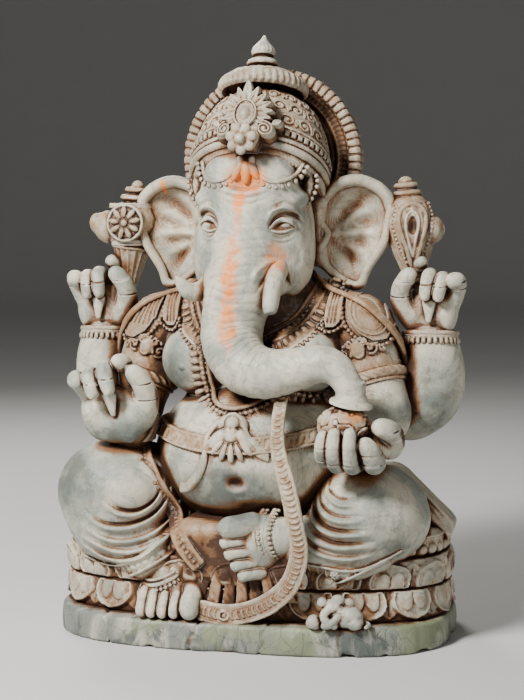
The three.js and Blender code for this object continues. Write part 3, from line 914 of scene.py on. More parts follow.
def build_head():
    c = form_head(Clay((-66, -98, 306), (66, 62, 478), 0.8))
    trunk = form_trunk(like(c))
    c.d = smooth_min(c.d, trunk.d, 14)
    c.add(egg((0, -34, 457), (44, 28, 22)), 8)
    for side in (-1, 1):
        y = c.depth(side * 38, 405)
        c.cut(egg((side * 37.5, y - 5.2, 403), (11.5, 7, 7.6), (0, side * -14, side * 22)), 6)
        c.add(egg((side * 37.5, y + 6.4, 402.2), (8.4, 7.0, 4.9), (0, side * -14, 0)), 1.2)
    r = Relief((-66, 306), (66, 478))
    for side in (-1, 1):
        def eye(pts):
            return [(side * (37.5 + 0.80 * (x - 37)), 402 + 0.86 * (z - 402) + (0 if side > 0 else 1.5))
                    for x, z in pts]
        r.line(eye([(23, 398), (29, 405), (37, 408.5), (45, 406.5), (51, 399)]), 2.8, 3.0, taper=True)
        r.line(eye([(24, 397.5), (31, 395), (40, 395.5), (49, 398.5)]), 1.9, 2.4, taper=True)
        for crease, width, height in (
                ([(22, 403), (28, 411.5), (38, 415.5), (48, 412.5), (55, 404)], 1.5, -1.5),
                ([(21, 408), (26, 417), (37, 421.5), (49, 418), (57, 408)], 2.2, 2.4),
                ([(24, 419), (37, 427.5), (50, 423)], 1.6, -1.0),
                ([(26, 391), (36, 388), (48, 391.5)], 1.5, -1.3),
                ([(24, 386), (36, 382), (50, 387)], 1.8, -1.2)):
            r.soft(eye(crease), width, height)
        r.line(eye([(28, 401.5), (37, 404.5), (45, 402)]), 1.0, -0.9, add=True)
    for z, w in ((424, 22), (431, 26), (438, 24)):
        r.soft([(-w, z + 3), (-w / 2, z), (0, z - 1.5), (w / 2, z), (w, z + 3)], 1.3, -1.1)
    tusk_sheath(r)
    r.soft([(46, 386), (52, 374), (50, 358)], 3.0, -1.0)
    press(c, r, (-66, -98, 306), (66, -6, 478), 14)
    c.cut(egg((47, -34, 391), (2.6, 6, 2.0)), 1.5)
    wrinkles(c)
    weather(c, 0.3, 12, 14)
    for side in (-1, 1):          # lower jaw, seen between trunk and tusk
        c.add(egg((side * 24, -38, 332), (16, 26, 18), (30, 0, 0)), 10)
    return folded(c, TRUNK_SPLIT[0], TRUNK_SPLIT[1])


TRUNK_SPLIT = (vec(-6, -62, 336), vec(0.06, 0.15, -1))


def wrinkles(c):
    """Shallow chevron creases down the upper trunk."""
    path = spline([(0, -40, 420)] + [p[:3] for p in TRUNK], 60)

    def height(p):
        s, near = along_path(p, path)
        side = np.abs(p[:, 0] - near[:, 0])
        wave = np.sin((s + 0.32 * side) / 1.45 + 0.8 * noise3(p, 18, 21))
        depth = 0.75 + 0.4 * noise3(p, 30, 22)
        gate = np.clip((s - 18) / 30, 0, 1) * np.clip((236 - s) / 70, 0, 1) * (p[:, 1] < near[:, 1] + 12)
        return depth * np.minimum(wave, 0.25) * gate * np.clip(1.2 - side / 34, 0, 1)
    return everywhere(c, height)


def build_trunk():
    c = form_trunk(Clay((-46, -136, 226), (140, -24, 372), 0.8))
    head = form_head(like(c))
    c.d = smooth_min(c.d, head.d, 14)
    r = Relief((-46, 226), (140, 372))
    tusk_sheath(r)
    press(c, r, (-46, -136, 226), (140, -6, 372), 14)
    wrinkles(c)
    tip = vec(116, -112, 240)
    bell = [(0, 20), (10, 20), (11.2, 12), (12.6, 7), (15.5, 2.5), (20, -1), (20.6, -3.4), (17.5, -4), (13, -1.5),
            (0, -1)]
    c.add(lathe(tip, bell, (6, 10, 0)), 3)
    weather(c, 0.3, 12, 14)
    return folded(c, TRUNK_SPLIT[0], -TRUNK_SPLIT[1])


def build_tusk(side):
    if side < 0:
        c = Clay((-68, -98, 322), (-22, -38, 372), 0.7)
        s = [(-30, -46, 357, 11), (-38, -62, 341, 9.6), (-48, -76, 338, 8), (-55, -83, 345, 5.6), (-58, -85, 354, 2.6)]
        c.add(tube(s, 18), 2)
        c.cut(boxy((-60, -86, 362), (14, 14, 8), 1, (0, 18, 0)), 1.5)
    else:
        c = Clay((12, -98, 310), (50, -40, 380), 0.7)
        s = [(31, -46, 366, 11.5), (32, -68, 352, 10), (32, -80, 336, 8), (32, -85, 321, 6.2)]
        c.add(tube(s, 16), 2)
        c.cut(boxy((31, -84, 310), (14, 14, 7), 1, (-14, -12, 0)), 1.5)
    return weather(c, 0.25, 9, 15)


EAR_RIM = [(54, 400), (57, 412), (61, 427), (74, 441), (94, 447), (114, 441), (126, 430), (130, 418)]
EAR = EAR_RIM + [(127, 404), (124, 388), (115, 374), (107, 360), (101, 345), (91, 343), (76, 352), (63, 364),
                 (56, 382), (52, 392)]


def build_ear(side):
    """A fan-shaped ear: rolled rim, hollow middle and soft pleats running out from its root."""
    c = Clay((42, -4, 336), (136, 48, 454), 0.85)
    pts = spline(EAR + [EAR[0]], 90)
    x, y, z, d2 = outline_on(c, pts)
    u, w = x - F32(60), z - F32(392)
    reach = np.sqrt(u * u + w * w)
    angle = np.arctan2(w, u)
    dish = F32(11) * np.clip(-d2 / 24, 0, 1) ** F32(0.8)
    pleat = F32(2.4) * np.sin(angle * 13 + F32(0.02) * reach) * np.clip((-d2 - 5) / 14, 0, 1) * np.clip(
        (reach - 14) / 22, 0, 1)
    broad = F32(3.2) * np.sin(angle * 4.2 + F32(0.9)) * np.clip((-d2 - 8) / 18, 0, 1)
    centre = F32(20) + F32(0.10) * (x - 60) + dish - pleat - broad - F32(0.0006) * (x - 90) ** 2 * 4
    thick = F32(5.0) - F32(1.6) * np.clip(-d2 / 20, 0, 1)
    c.d = rounded(d2 + F32(2.5), np.abs(y - centre) - thick, F32(2.0)).astype(F32)
    rim = [(a, 13 + 0.10 * (a - 60), b) for a, b in along(EAR_RIM, 4)]
    c.add(rope(rim, 5.6), 2)
    low = [(a, 12 + 0.06 * (a - 60), b) for a, b in along([(130, 418), (124, 388), (107, 360), (101, 345), (91, 343),
                                                           (76, 352), (63, 365), (58, 385)], 4)]
    c.add(rope(low, 3.8), 2.5)
    c.add(bone((50, 14, 420), 11, (52, 14, 374), 12), 10)
    c.add(tube([(60, 10, 404, 3.2), (66, 12, 396, 3.0), (64, 10, 386, 3.0), (57, 6, 380, 3.0)], 10), 3)
    weather(c, 0.35, 13, 16)
    return flipped(c) if side < 0 else c


# ---- headdress ----

TILT = 0.55
BAND_Z = 445.0
LEAN = 0.33


def crown_frame(p):
    """Height above the headdress's rim plane, and arc length round it from the front, in mm."""
    ct, st = math.cos(TILT), math.sin(TILT)
    w = (p[:, 2] - BAND_Z) * ct + p[:, 1] * st
    across = p[:, 1] * ct - (p[:, 2] - BAND_Z) * st
    return w, np.arctan2(p[:, 0], -across) * 60


def form_dome(c, grow=0.0):
    c.add(egg((0, 8, 462), (67 + grow, 65 + grow, 80 + grow), (-math.degrees(LEAN), 0, 0)))
    return c


def build_dome():
    """The cap, carved all over with scrolls and leaves above its band."""
    c = form_dome(Clay((-74, -72, 392), (74, 82, 550), 0.8))
    r = Relief((-200, -10), (200, 110))
    for row, (w, radius, step) in enumerate(((34, 7.5, 17), (51, 7, 17), (67, 6, 19))):
        n = int(190 / step)
        for k in range(-n, n + 1):
            u = (k + 0.5 * (row % 2)) * step
            r.scroll((u, w), radius, 1.35, 1.5, 1.9, start=200 + 180 * (k % 2), sense=1 if k % 2 else -1)
            r.petal((u + step / 2, w - 6), 90, 11, 5, 1.6, rim=0.2, groove=0.3)

    def pattern(p):
        w, u = crown_frame(p)
        return r.read(u, w) * np.clip((w - 24) / 3, 0, 1)
    everywhere(c, pattern)
    _, y, z = c.whole()
    w = (z - F32(BAND_Z)) * F32(math.cos(TILT)) + y * F32(math.sin(TILT))
    c.d = np.maximum(c.d, F32(-6) - w)
    head = form_head(like(c))
    c.d = np.maximum(c.d, -(head.d + F32(3)))
    return weather(c, 0.3, 8, 17)


def build_band():
    """The rim: two plain ridges, a row of square beads and a fine ridge, rising to the front."""
    c = form_dome(Clay((-80, -76, 410), (80, 40, 502), 0.75))

    def thick(p):
        w, u = crown_frame(p)
        h = 2.2 + 0 * w
        h = h + 2.6 * np.sqrt(np.clip(1 - ((w - 3) / 3.2) ** 2, 0, 1))
        h = h + 2.0 * np.sqrt(np.clip(1 - ((w - 9.5) / 2.6) ** 2, 0, 1))
        bead = np.clip(1 - (np.mod(u, 6.2) - 3.1) ** 6 / 2.6 ** 6, 0, 1)
        h = h + 2.6 * bead * np.sqrt(np.clip(1 - ((w - 17) / 3.6) ** 4, 0, 1))
        h = h + 1.4 * np.sqrt(np.clip(1 - ((w - 23.5) / 1.6) ** 2, 0, 1))
        return h

    def region(p):
        w, _ = crown_frame(p)
        return np.maximum(np.maximum(-1 - w, w - 26), p[:, 1] - 14)
    overlay_shell(c, thick, region, 3.0)
    return weather(c, 0.25, 7, 18)


def build_crest():
    """A flame-edged leaf with a ringed oval stone, over a seven-leaved flower and two side scrolls."""
    c = Clay((-42, -94, 466), (50, 20, 558), 0.65)
    lean = 0.46
    base = vec(2, -69, 485)
    ct, st = math.cos(lean), math.sin(lean)
    r = Relief((-42, -18), (42, 76))
    heart = (0, 24)
    rays = [(90 + k * 19.0, 33 - 1.5 * abs(k) ** 1.1) for k in range(-6, 7)]
    for a, reach in sorted(rays, key=lambda ray: -abs(ray[0] - 90)):
        along_ray = (math.cos(math.radians(a)), math.sin(math.radians(a)))
        r.petal((heart[0] + 6 * along_ray[0], heart[1] + 6 * along_ray[1]), a, reach - 4, 8.4,
                5.2 + 0.9 * (1 - abs(a - 90) / 120), rim=0.6, groove=0.9)
    r.petal((0, 32), 90, 31, 11, 6.6, rim=0.7, groove=0.9)
    r.lens(heart, 11.5, 15.0, 6.8, 0, 0.2)
    r.line(arc(heart, 10.6, 0, 360, 25, 1.32), 1.7, 8.6, n=50)
    r.lens(heart, 7.0, 9.6, 10.2, 0, 0.5)
    for side in (-1, 1):
        r.scroll((side * 20, 9), 7.6, 2.0, 2.0, 7.6, start=90, sense=-side)
        r.petal((side * 25, 14), 90 - side * 48, 13, 7.5, 6.0, rim=0.6, groove=0.7)
    r.plate([(-12, -10), (12, -10), (17, 6), (12, 22), (-12, 22), (-17, 6)], 4.6, edge=2)
    to = lambda x, y, z: ((x - F32(base[0])),
                          (y - F32(base[1])) * F32(ct) - (z - F32(base[2])) * F32(st),
                          (y - F32(base[1])) * F32(st) + (z - F32(base[2])) * F32(ct))
    x, y, z = c.whole()
    u, depth, v = to(x, y, z)
    u, depth, v = np.broadcast_arrays(u, depth, v)
    curve = F32(0.010) * u * u
    h = r.read(u, v)
    flat = np.maximum(-(depth - curve + h), depth - curve - F32(13))
    c.d = np.maximum(flat, F32(1.2) - h).astype(F32)
    flower = vec(2, -80, 484)
    for k in range(7):
        a = 2 * math.pi * (k + 0.25) / 7
        c.add(egg(flower + vec(9.6 * math.cos(a), 1.2, 9.6 * math.sin(a)), (5.9, 3.6, 5.2),
                  (0, -math.degrees(a), 0)), 0.4)
    c.add(egg(flower + vec(0, 4, 0), (11, 7, 11)), 1)
    c.add(ball(flower + vec(0, -2.4, 0), 5.2), 0.4)
    c.add(ring(flower + vec(0, -1.5, 0), 5.2, 0.9, (90, 0, 0)), 0.3)
    return weather(c, 0.22, 6, 19)


def build_canopy():
    """A small parasol over the cap: domed top, deep notched rim roll, hollow underside."""
    at = (-2, 26, 543)
    lean = (-14, 0, 0)
    c = Clay((-54, -26, 518), (50, 76, 570), 0.8)
    c.add(lathe(at, [(0, 14), (16, 13), (34, 8.5), (42, 3), (45.5, -3), (45, -8), (41, -11), (37, -8.5), (35, -5),
                     (20, -4), (0, -4)], lean))
    to = frame_of(lean, at)

    def marks(p):
        a, b, h = to(p[:, 0], p[:, 1], p[:, 2])
        rho = np.hypot(a, b)
        turn = np.arctan2(b, a)
        notch = 0.8 * np.sin(turn * 40) * np.clip(1 - np.abs(rho - 44) / 4, 0, 1)
        rings = -1.0 * np.exp(-((rho - 36.5) / 1.1) ** 2) * (h > 0) - 0.8 * np.exp(-((rho - 24) / 1.2) ** 2) * (h > 0)
        leaf = 0.9 * np.abs(np.sin(turn * 12)) ** 0.6 * np.clip(1 - ((rho - 30) / 5.2) ** 2, 0, 1) * (h > 0)
        return notch + rings + leaf
    everywhere(c, marks)
    return weather(c, 0.3, 7, 20)


def build_finial():
    """A squat bud on a flared foot."""
    at = (-2, 26, 572)
    c = Clay((-22, 2, 548), (18, 50, 600), 0.65)
    c.add(lathe(at, [(0, 22), (1.6, 20.5), (3.2, 17), (7.5, 12), (11.5, 7.5), (12.6, 3.5), (10.8, 0), (7.5, -2),
                     (8.5, -3.5), (14.5, -5.5), (16.4, -8.5), (15.5, -11), (9, -14), (7, -20), (0, -20)],
              (-12, 0, 0), flutes=(16, 0.5, 2, 12)))
    return weather(c, 0.25, 6, 21)


def build_garland():
    """Two beaded loops across the forehead, a ribbed pendant between them and strands at the temples."""
    base = form_head(Clay((-70, -104, 400), (70, 60, 492), 0.9))
    form_dome(base, 1.0)
    c = Clay((-76, -98, 396), (76, 46, 488), 0.7)
    loops = ([(-46, 463), (-42, 451), (-32, 444.5), (-20, 446), (-10, 453), (-5, 464)],
             [(8, 464), (13, 453), (22, 445), (34, 443.5), (45, 448), (52, 460)])
    for path in loops:
        inner = draped(base, path, 2.4, 4)
        c.add(rope(inner, 2.5), 0.4)
        c.add(beads(inner - sideways(inner) * 5.2 + vec(0, 0.2, 0), 2.7)[::2], 0.2)
    for x, z, w, h, turn in ((-5, 455, 4.4, 11, 26), (10, 455, 4.4, 11, -26), (2.5, 453, 5, 12, 0),
                             (-3, 464, 4, 6, 0), (8, 464, 4, 6, 0)):
        y = base.depth(x, z)
        c.add(egg((x, y - 2.5, z), (w, 4.4, h), (0, turn, 0)), 0.5)
    for side in (-1, 1):
        turn = np.linspace(0.55, 2.1, 26)
        across = -62 * np.cos(turn)
        rim = np.stack([side * 61 * np.sin(turn), across * math.cos(TILT) + 2,
                        BAND_Z - across * math.sin(TILT) - 5], 1)
        c.add(rope(rim, 5.5), 1.0)
        out = rim * [1.05, 1.04, 1] + vec(0, -1.2, -3.5)
        c.add(beads(out, 2.5), 0.2)
        tip = vec(side * 55, -22, 437)
        c.add(egg(tip, (7, 7, 17), (0, side * 14, 0)), 2)
        edge = [tip + rotation((0, side * 14, 0)) @ vec(8.5 * math.sin(a) * (1 - 0.3 * math.cos(a)), -5,
                -17 * math.cos(a)) for a in np.linspace(-2.6, 2.6, 15)]
        c.add(beads(edge, 2.3), 0.2)
    return weather(c, 0.15, 6, 22)


def build_halo():
    """The disc behind the head: a rim of notched blocks, a dished ring with fine grooves and a plain middle."""
    at = (-1, 64, 470)
    c = Clay((-98, 46, 374), (96, 82, 568), 0.95)
    turn = (90, 0, 0)
    c.add(lathe(at, [(0, 8), (66, 8), (70, 10.5), (74, 8), (79, 8.5), (82, 12), (90, 12), (93, 9), (93, -8),
                     (88, -11), (0, -11)], turn))

    def marks(p):
        x, z = p[:, 0] - at[0], p[:, 2] - at[2]
        rho, a = np.hypot(x, z), np.arctan2(z, x)
        front = p[:, 1] < at[1]
        blocks = -2.0 * np.exp(-((np.mod(a * 91, 8.16) - 4.08) / 0.9) ** 2) * np.clip((rho - 80.5) / 1.5, 0, 1)
        rings = sum(-1.1 * np.exp(-((rho - q) / 0.9) ** 2) for q in (56, 61, 66))
        rays = -0.9 * np.exp(-((np.mod(a * 75, 5.0) - 2.5) / 0.7) ** 2) * (np.abs(rho - 74.5) < 4)
        ribs = np.where(front, rings + rays, 0)
        petals = np.abs(np.cos(a * 8)) ** 0.5
        back = np.where(front, 0, -2.2 * np.exp(-((rho - 78) / 1.3) ** 2) - 1.8 * np.exp(-((rho - 62) / 1.2) ** 2)
                        + 3.0 * petals * np.clip(1 - ((rho - 41) / 17) ** 2, 0, 1) ** 0.6
                        - 1.6 * np.exp(-((rho - 20) / 1.3) ** 2) + 3.0 * np.clip(1 - (rho / 15) ** 2, 0, 1) ** 0.5)
        return blocks + ribs + back
    everywhere(c, marks)
    return weather(c, 0.4, 10, 23)


# ---- arms and hands ----

FRONT_ARM = {-1: ((-103, 2, 292), 33.5, (-124, -12, 228), 28.5), 1: ((103, 2, 292), 34, (125, -12, 226), 28.5)}
FRONT_FORE = {-1: ((-127, -20, 214), 26.5, (-112, -66, 206), 23.5), 1: ((129, -22, 214), 26.5, (121, -72, 200), 22.5)}
REAR_ARM = ((104, 26, 292), 32, (146, 34, 217), 29)
REAR_FORE = [(150, 33, 222, 29), (166, 31, 236, 28.5), (171, 29, 262, 26), (168, 26, 294, 20)]


def form_front(c, side):
    c.add(bone(*FRONT_ARM[side]), 6)
    c.add(bone(*FRONT_FORE[side]), 12)
    return c


def form_rear(c):
    c.add(bone(*REAR_ARM), 6)
    c.add(tube(REAR_FORE, 16), 10)
    return c


def arm_box(side, kind):
    lo, hi = {"front": ((64, -46, 186), (166, 46, 336)), "fore": ((74, -104, 168), (172, 20, 262)),
              "rear": ((66, -10, 176), (204, 70, 336))}[kind]
    return ((-hi[0], lo[1], lo[2]), (-lo[0], hi[1], hi[2])) if side < 0 else (lo, hi)


def build_front_arm(side):
    c = form_front(Clay(*arm_box(side, "front"), 1.0), side)
    c.add(egg((side * 92, 2, 308), (34, 32, 26)), 12)
    return folded(weather(c, 0.35, 13, 30), (side * 127, -18, 216), (0, -0.55, -0.85))


def build_front_fore(side):
    c = form_front(Clay(*arm_box(side, "fore"), 1.0), side)
    return folded(weather(c, 0.35, 13, 30), (side * 127, -18, 216), (0, 0.55, 0.85))


def build_rear_arm(side):
    c = form_rear(Clay(*arm_box(1, "rear"), 1.1))
    c = folded(weather(c, 0.4, 14, 32), (156, 30, 208), (0.75, 0, 0.35))
    return flipped(c) if side < 0 else c


def build_rear_fore(side):
    c = form_rear(Clay(*arm_box(1, "rear"), 1.1))
    c = folded(weather(c, 0.4, 14, 32), (156, 30, 208), (-0.75, 0, -0.35))
    return flipped(c) if side < 0 else c


def finger(c, stations, blend=2.0, nail=None):
    c.add(tube(stations, 14), blend)
    s = spline(stations, 14)
    for i in (5, 9):                      # joint creases
        x, y, z, r = s[i]
        c.cut(ring((x, y, z), r + 0.7, 0.6, (12, 0, 0)), 1.0)
    if nail:
        x, y, z, r = s[-1]
        c.add(egg((x, y - r * 0.72, z + nail), (r * 0.62, 2.0, r * 0.78)), 0.3)
    return c


def tongue(c, top, end, width):
    """A short cloth tassel hanging from under the fingers: three folds drawn to a point."""
    top, end = vec(*top), vec(*end)
    for off, w in ((-0.45, 0.42), (0.45, 0.42), (0.0, 0.5)):
        c.add(bone(top + vec(off * width, 0, 0), width * w, end + vec(off * width * 0.25, 0, 0), width * 0.22), 0.8)
    return c


def build_rear_hand(side):
    """A palm towards the viewer, two fingers folded over a tassel, the first finger and thumb raised together."""
    c = Clay((128, -24, 284), (212, 52, 380), 0.7)
    c.add(egg((169, 21, 322), (26, 16, 25)))
    c.add(egg((186, 17, 316), (10, 12, 19)), 7)
    c.add(egg((152, 18, 312), (11, 12, 16)), 7)
    c.add(bone((168, 25, 284), 20, (168, 23, 302), 17, ((0, 1, 0), 0.85)), 8)
    finger(c, [(190, 19, 326, 9), (196, 14, 340, 7.8), (197, 7, 348, 7.2), (193, 1, 348, 6.8)], 3)
    finger(c, [(182, 22, 332, 8), (183, 17, 347, 7.2), (183, 5, 350, 6.8), (181, -2, 341, 6), (180, -3, 333, 5.4)],
           1.5, nail=-1.0)
    finger(c, [(169, 22, 334, 8), (170, 17, 350, 7.4), (170, 4, 353, 7), (168, -3, 343, 6.1), (167, -4, 334, 5.5)],
           1.5, nail=-1.0)
    finger(c, [(157, 26, 334, 8.6), (155, 28, 350, 7.6), (156, 24, 361, 7.2), (160, 16, 366, 6.8)], 2)
    finger(c, [(149, 16, 314, 11), (142, 12, 326, 9.4), (142, 6, 340, 8), (148, 2, 350, 7), (151, 1, 354, 6.4)], 4)
    tongue(c, (170, 4, 328), (170, 1, 309), 8)
    weather(c, 0.3, 10, 34)
    c = folded(c, (168, 24, 293), (0, 0, -1))
    return flipped(c) if side < 0 else c


def build_front_right_hand():
    """A broad cupped palm with folded fingers."""
    c = Clay((-166, -134, 178), (-78, -56, 290), 0.7)
    c.add(egg((-122, -84, 222), (32, 21, 31)))
    c.add(egg((-102, -90, 216), (14, 15, 24), (0, 18, 0)), 7)
    c.add(egg((-143, -88, 218), (11, 13, 23), (0, -14, 0)), 7)
    c.cut(egg((-121, -110, 228), (14, 9, 16)), 8)
    finger(c, [(-145, -86, 236, 9.5), (-152, -94, 247, 8.4), (-156, -103, 254, 7.6), (-152, -110, 252, 7)], 3)
    finger(c, [(-136, -86, 244, 8.5), (-140, -98, 257, 7.6), (-140, -110, 258, 7.4), (-136, -117, 250, 6.8),
               (-134, -118, 243, 6.4)], 1.5, nail=-1.0)
    finger(c, [(-123, -86, 248, 8.5), (-126, -98, 263, 7.8), (-125, -111, 264, 7.5), (-121, -118, 255, 6.8),
               (-118, -119, 247, 6.4)], 1.5, nail=-1.0)
    finger(c, [(-111, -84, 246, 8.8), (-108, -90, 261, 7.9), (-110, -98, 270, 7.4), (-113, -105, 272, 7)], 2)
    finger(c, [(-96, -86, 216, 12.5), (-89, -90, 234, 10.4), (-91, -98, 251, 8.6), (-98, -104, 262, 7.2)], 4)
    tongue(c, (-121, -108, 240), (-118, -105, 221), 8)
    weather(c, 0.3, 10, 36)
    return c


def build_front_left_hand():
    """A cupped hand under the sweet: three long fingers up the front, the first finger and thumb at the side."""
    c = Clay((80, -146, 168), (162, -56, 236), 0.65)
    c.add(egg((119, -98, 198), (33, 25, 21)))
    c.cut(egg((113, -110, 226), (28, 23, 19)), 4)
    finger(c, [(99, -102, 185, 8), (92, -122, 187, 7), (92, -132, 198, 6.4), (94, -133, 209, 5.7)], 1.5, nail=-1)
    finger(c, [(108, -104, 181, 8), (104, -128, 183, 7.2), (104, -137, 198, 6.6), (105, -137, 212, 5.9)], 0.8,
           nail=-1)
    finger(c, [(120, -104, 181, 8), (119, -128, 182, 7.2), (119, -137, 198, 6.6), (119, -136, 212, 5.9)], 0.8,
           nail=-1)
    finger(c, [(136, -98, 182, 10), (138, -118, 184, 10), (138, -128, 193, 9), (133, -132, 202, 7.8)], 1.5, nail=1)
    finger(c, [(147, -84, 194, 11), (153, -98, 206, 9.5), (151, -113, 214, 8.4), (144, -121, 217, 7.4)], 4)
    c.add(bone((122, -70, 200), 22, (119, -90, 198), 21), 9)
    return weather(c, 0.3, 10, 38)


def build_sweet():
    """A heaped ball of crumbled sweet."""
    c = Clay((82, -138, 206), (148, -74, 256), 0.7)
    c.add(egg((110, -113, 217), (26, 22, 17)))
    c.add(egg((106, -114, 225), (16, 17, 8)), 8)

    def crumbs(p):
        a, b = noise3(p, 6.5, 41), noise3(p, 3.2, 43)
        cracks = -1.6 * np.clip(1 - np.abs(noise3(p, 8, 45)) / 0.10, 0, 1)
        return 1.1 * a + 0.5 * b + cracks
    return everywhere(c, crumbs)


def axis_frame(p, a, b):
    """Length along a limb's axis, and the angle round it from the viewer's side, for points."""
    a, b = vec(*a), vec(*b)
    e = (b - a) / np.linalg.norm(b - a)
    side = np.cross(e, vec(0, -1, 0))
    side /= np.linalg.norm(side)
    front = np.cross(side, e)
    q = p - a
    return q @ e, np.arctan2(q @ side, q @ front)


def build_armlet(side):
    """Leafy scrolls standing over a twisted ring, round the upper arm."""
    c = form_front(Clay(*arm_box(side, "front"), 0.8), side)
    a, _, b, _ = FRONT_ARM[side]
    r = Relief((-60, 0), (60, 60))
    for k, (u, v, rad) in enumerate(((0, 22, 7.5), (-13, 19, 6), (13, 19, 6), (-24, 21, 5.5), (24, 21, 5.5),
                                      (-7, 11, 5.2), (7, 11, 5.2), (-19, 11, 5), (19, 11, 5))):
        r.scroll((u, v), rad, 1.2, 1.5, 3.4, start=60 * k, sense=1 if k % 2 else -1)
    for k in range(-4, 5):
        r.petal((k * 7.0, 11), -90 + k * 9, 10 - abs(k) * 0.6, 6, 3.0, rim=0.6, groove=0.8)
    r.lens((0, 17), 8, 9, 4.4, 0, 0.5)

    def thick(p):
        s, angle = axis_frame(p, a, b)
        u = angle * 32
        ring_h = 4.4 * np.sqrt(np.clip(1 - ((s - 44) / 5.2) ** 2, 0, 1)) * (0.8 + 0.2 * np.sin(u / 1.35 + s * 0.8))
        edge = 1.8 * np.sqrt(np.clip(1 - ((s - 51) / 1.8) ** 2, 0, 1))
        return 0.6 + np.maximum(np.maximum(ring_h, edge), r.read(u * side, s))

    def region(p):
        s, angle = axis_frame(p, a, b)
        top = 33 - 27 * np.clip(1 - (angle / 1.05) ** 2, 0, 1)
        return np.maximum(top - s, s - 53)
    overlay_shell(c, thick, region, 3.0)
    return weather(c, 0.3, 6, 50)


SCALLOPS = 30


def bangle(at, radius, turn, squash=1.0):
    """A plain ring over a ring of scallops."""
    at = vec(*at)
    pad = radius + 8
    c = Clay(at - vec(pad, pad, 16), at + vec(pad, pad, 16), 0.7)
    m = rotation(turn)
    for level, rad, size in ((4.0, radius + 0.4, 2.6), (0.4, radius + 0.8, 1.8)):
        pts = [at + m @ vec(rad * math.cos(t), rad * squash * math.sin(t), level)
               for t in np.linspace(0, 2 * np.pi, 65)]
        c.add(rope(pts, size), 0.6)
    for k in range(SCALLOPS):
        t = 2 * math.pi * k / SCALLOPS
        p = at + m @ vec((radius + 1.6) * math.cos(t), (radius + 1.6) * squash * math.sin(t), -3.6)
        c.add(egg(p, (2.6, 2.6, 3.6)), 0.3)
    return weather(c, 0.15, 6, 52)


def build_bracelet(side):
    c = bangle((168.5, 26, 292), 25.5, (-4, 0, 0), 0.95)
    return flipped(c) if side < 0 else c


def build_bangle():
    return bangle((-112, -66, 208), 24.5, (72, 0, -10))


# ---- emblems, capes and cords ----

def build_right_emblem():
    """A fluted conch-like cup: a stepped cap, ringed collar, a flower disc and a bulge at one side."""
    at = vec(-141, 30, 397)
    c = Clay((-196, -4, 334), (-104, 66, 462), 0.8)
    prof = [(0, 52), (3.5, 51), (6, 48), (7, 45), (12, 44), (13.5, 41.5), (12, 39), (10, 38), (15.5, 36), (17, 33),
            (15, 30.5), (12.5, 29.5), (21, 25), (24.5, 16), (25, 6), (22, -4), (19.5, -13), (18.5, -15), (20.5, -17.5),
            (19, -20), (15.5, -32), (12, -44), (9, -56), (0, -57)]
    c.add(lathe(at, prof, (0, 6, 0), flutes=(15, 1.6, -55, -19)))
    c.add(egg((-168, 30, 401), (15, 16, 17)), 5)
    c.add(egg((-180, 26, 405), (7, 9, 10)), 4)
    for k in range(3):
        c.add(ring((-168, 30, 401), 12 - 3 * k, 1.0, (90, 0, 0)), 0.6)
    face = c.depth(-142, 406)
    disc = vec(-142, face, 405)
    c.add(egg(disc + vec(0, 5, 0), (19.5, 8, 19.5)), 1.5)
    c.add(ring(disc + vec(0, -0.5, 0), 18, 1.5, (90, 0, 0)), 0.4)
    for k in range(9):
        a = 2 * math.pi * k / 9 + 0.2
        c.add(egg(disc + vec(10.6 * math.cos(a), -2.4, 10.6 * math.sin(a)), (6.2, 2.8, 3.0),
                  (0, -math.degrees(a), 0)), 0.3)
    c.add(ball(disc + vec(0, -2.2, 0), 4.2), 0.3)
    for z in (424, 421.5, 386, 383):
        to = at + vec(-1, 0, z - 397)
        c.add(ring(to, 20.5 if z < 400 else 22.5, 1.4), 0.5)
    return weather(c, 0.35, 8, 54)


def build_left_emblem():
    """The matching cup on the other side, with a looped panel in front."""
    at = vec(147, 30, 399)
    c = Clay((112, -4, 334), (196, 66, 464), 0.8)
    prof = [(0, 52), (4, 51), (7, 48.5), (7.5, 46), (11.5, 45), (12.5, 42.5), (11, 40), (9.5, 39), (13, 37.5),
            (15, 35), (13.5, 32), (17, 29), (22, 22), (25, 12), (26, 2), (24, -9), (20, -22), (15.5, -34),
            (11.5, -46), (9, -58), (0, -59)]
    c.add(lathe(at, prof, (0, -6, 0), flutes=(18, 1.0, -56, 24)))
    c.add(egg((171, 30, 398), (10, 13, 13)), 4)
    c.add(ring((173, 28, 398), 8, 1.2, (90, 0, 0)), 0.6)
    loop = [(152, 360), (146, 383), (140, 402), (141, 417), (152, 424), (163, 417), (165, 402), (160, 383),
            (154, 360)]
    line = draped(c, loop, 3, 3)
    c.add(rope(line + vec(0, -0.6, 0), 2.4), 0.4)
    inner = [(152.5, 372), (148.5, 390), (146.5, 403), (148, 413), (153, 417), (158, 412), (159, 402), (156, 388)]
    line = draped(c, inner + inner[:1], 3, 2)
    c.add(rope(line + vec(0, -0.4, 0), 1.3), 0.3)
    c.cut(egg((153, c.depth(153, 402) + 1, 402), (4, 5, 9)), 1.5)
    for side in (-1, 1):
        path = [(152 + side * 14, 424), (152 + side * 19, 404), (152 + side * 14, 384), (152 + side * 6, 366)]
        c.add(beads_on(c, path, 1.7, 4.2), 0.3)
    return weather(c, 0.35, 8, 56)


def form_shoulder(c, side):
    form_torso(c)
    c.add(bone(*FRONT_ARM[side]), 8)
    c.add(egg((side * 92, 2, 308), (34, 32, 26)), 12)
    return c


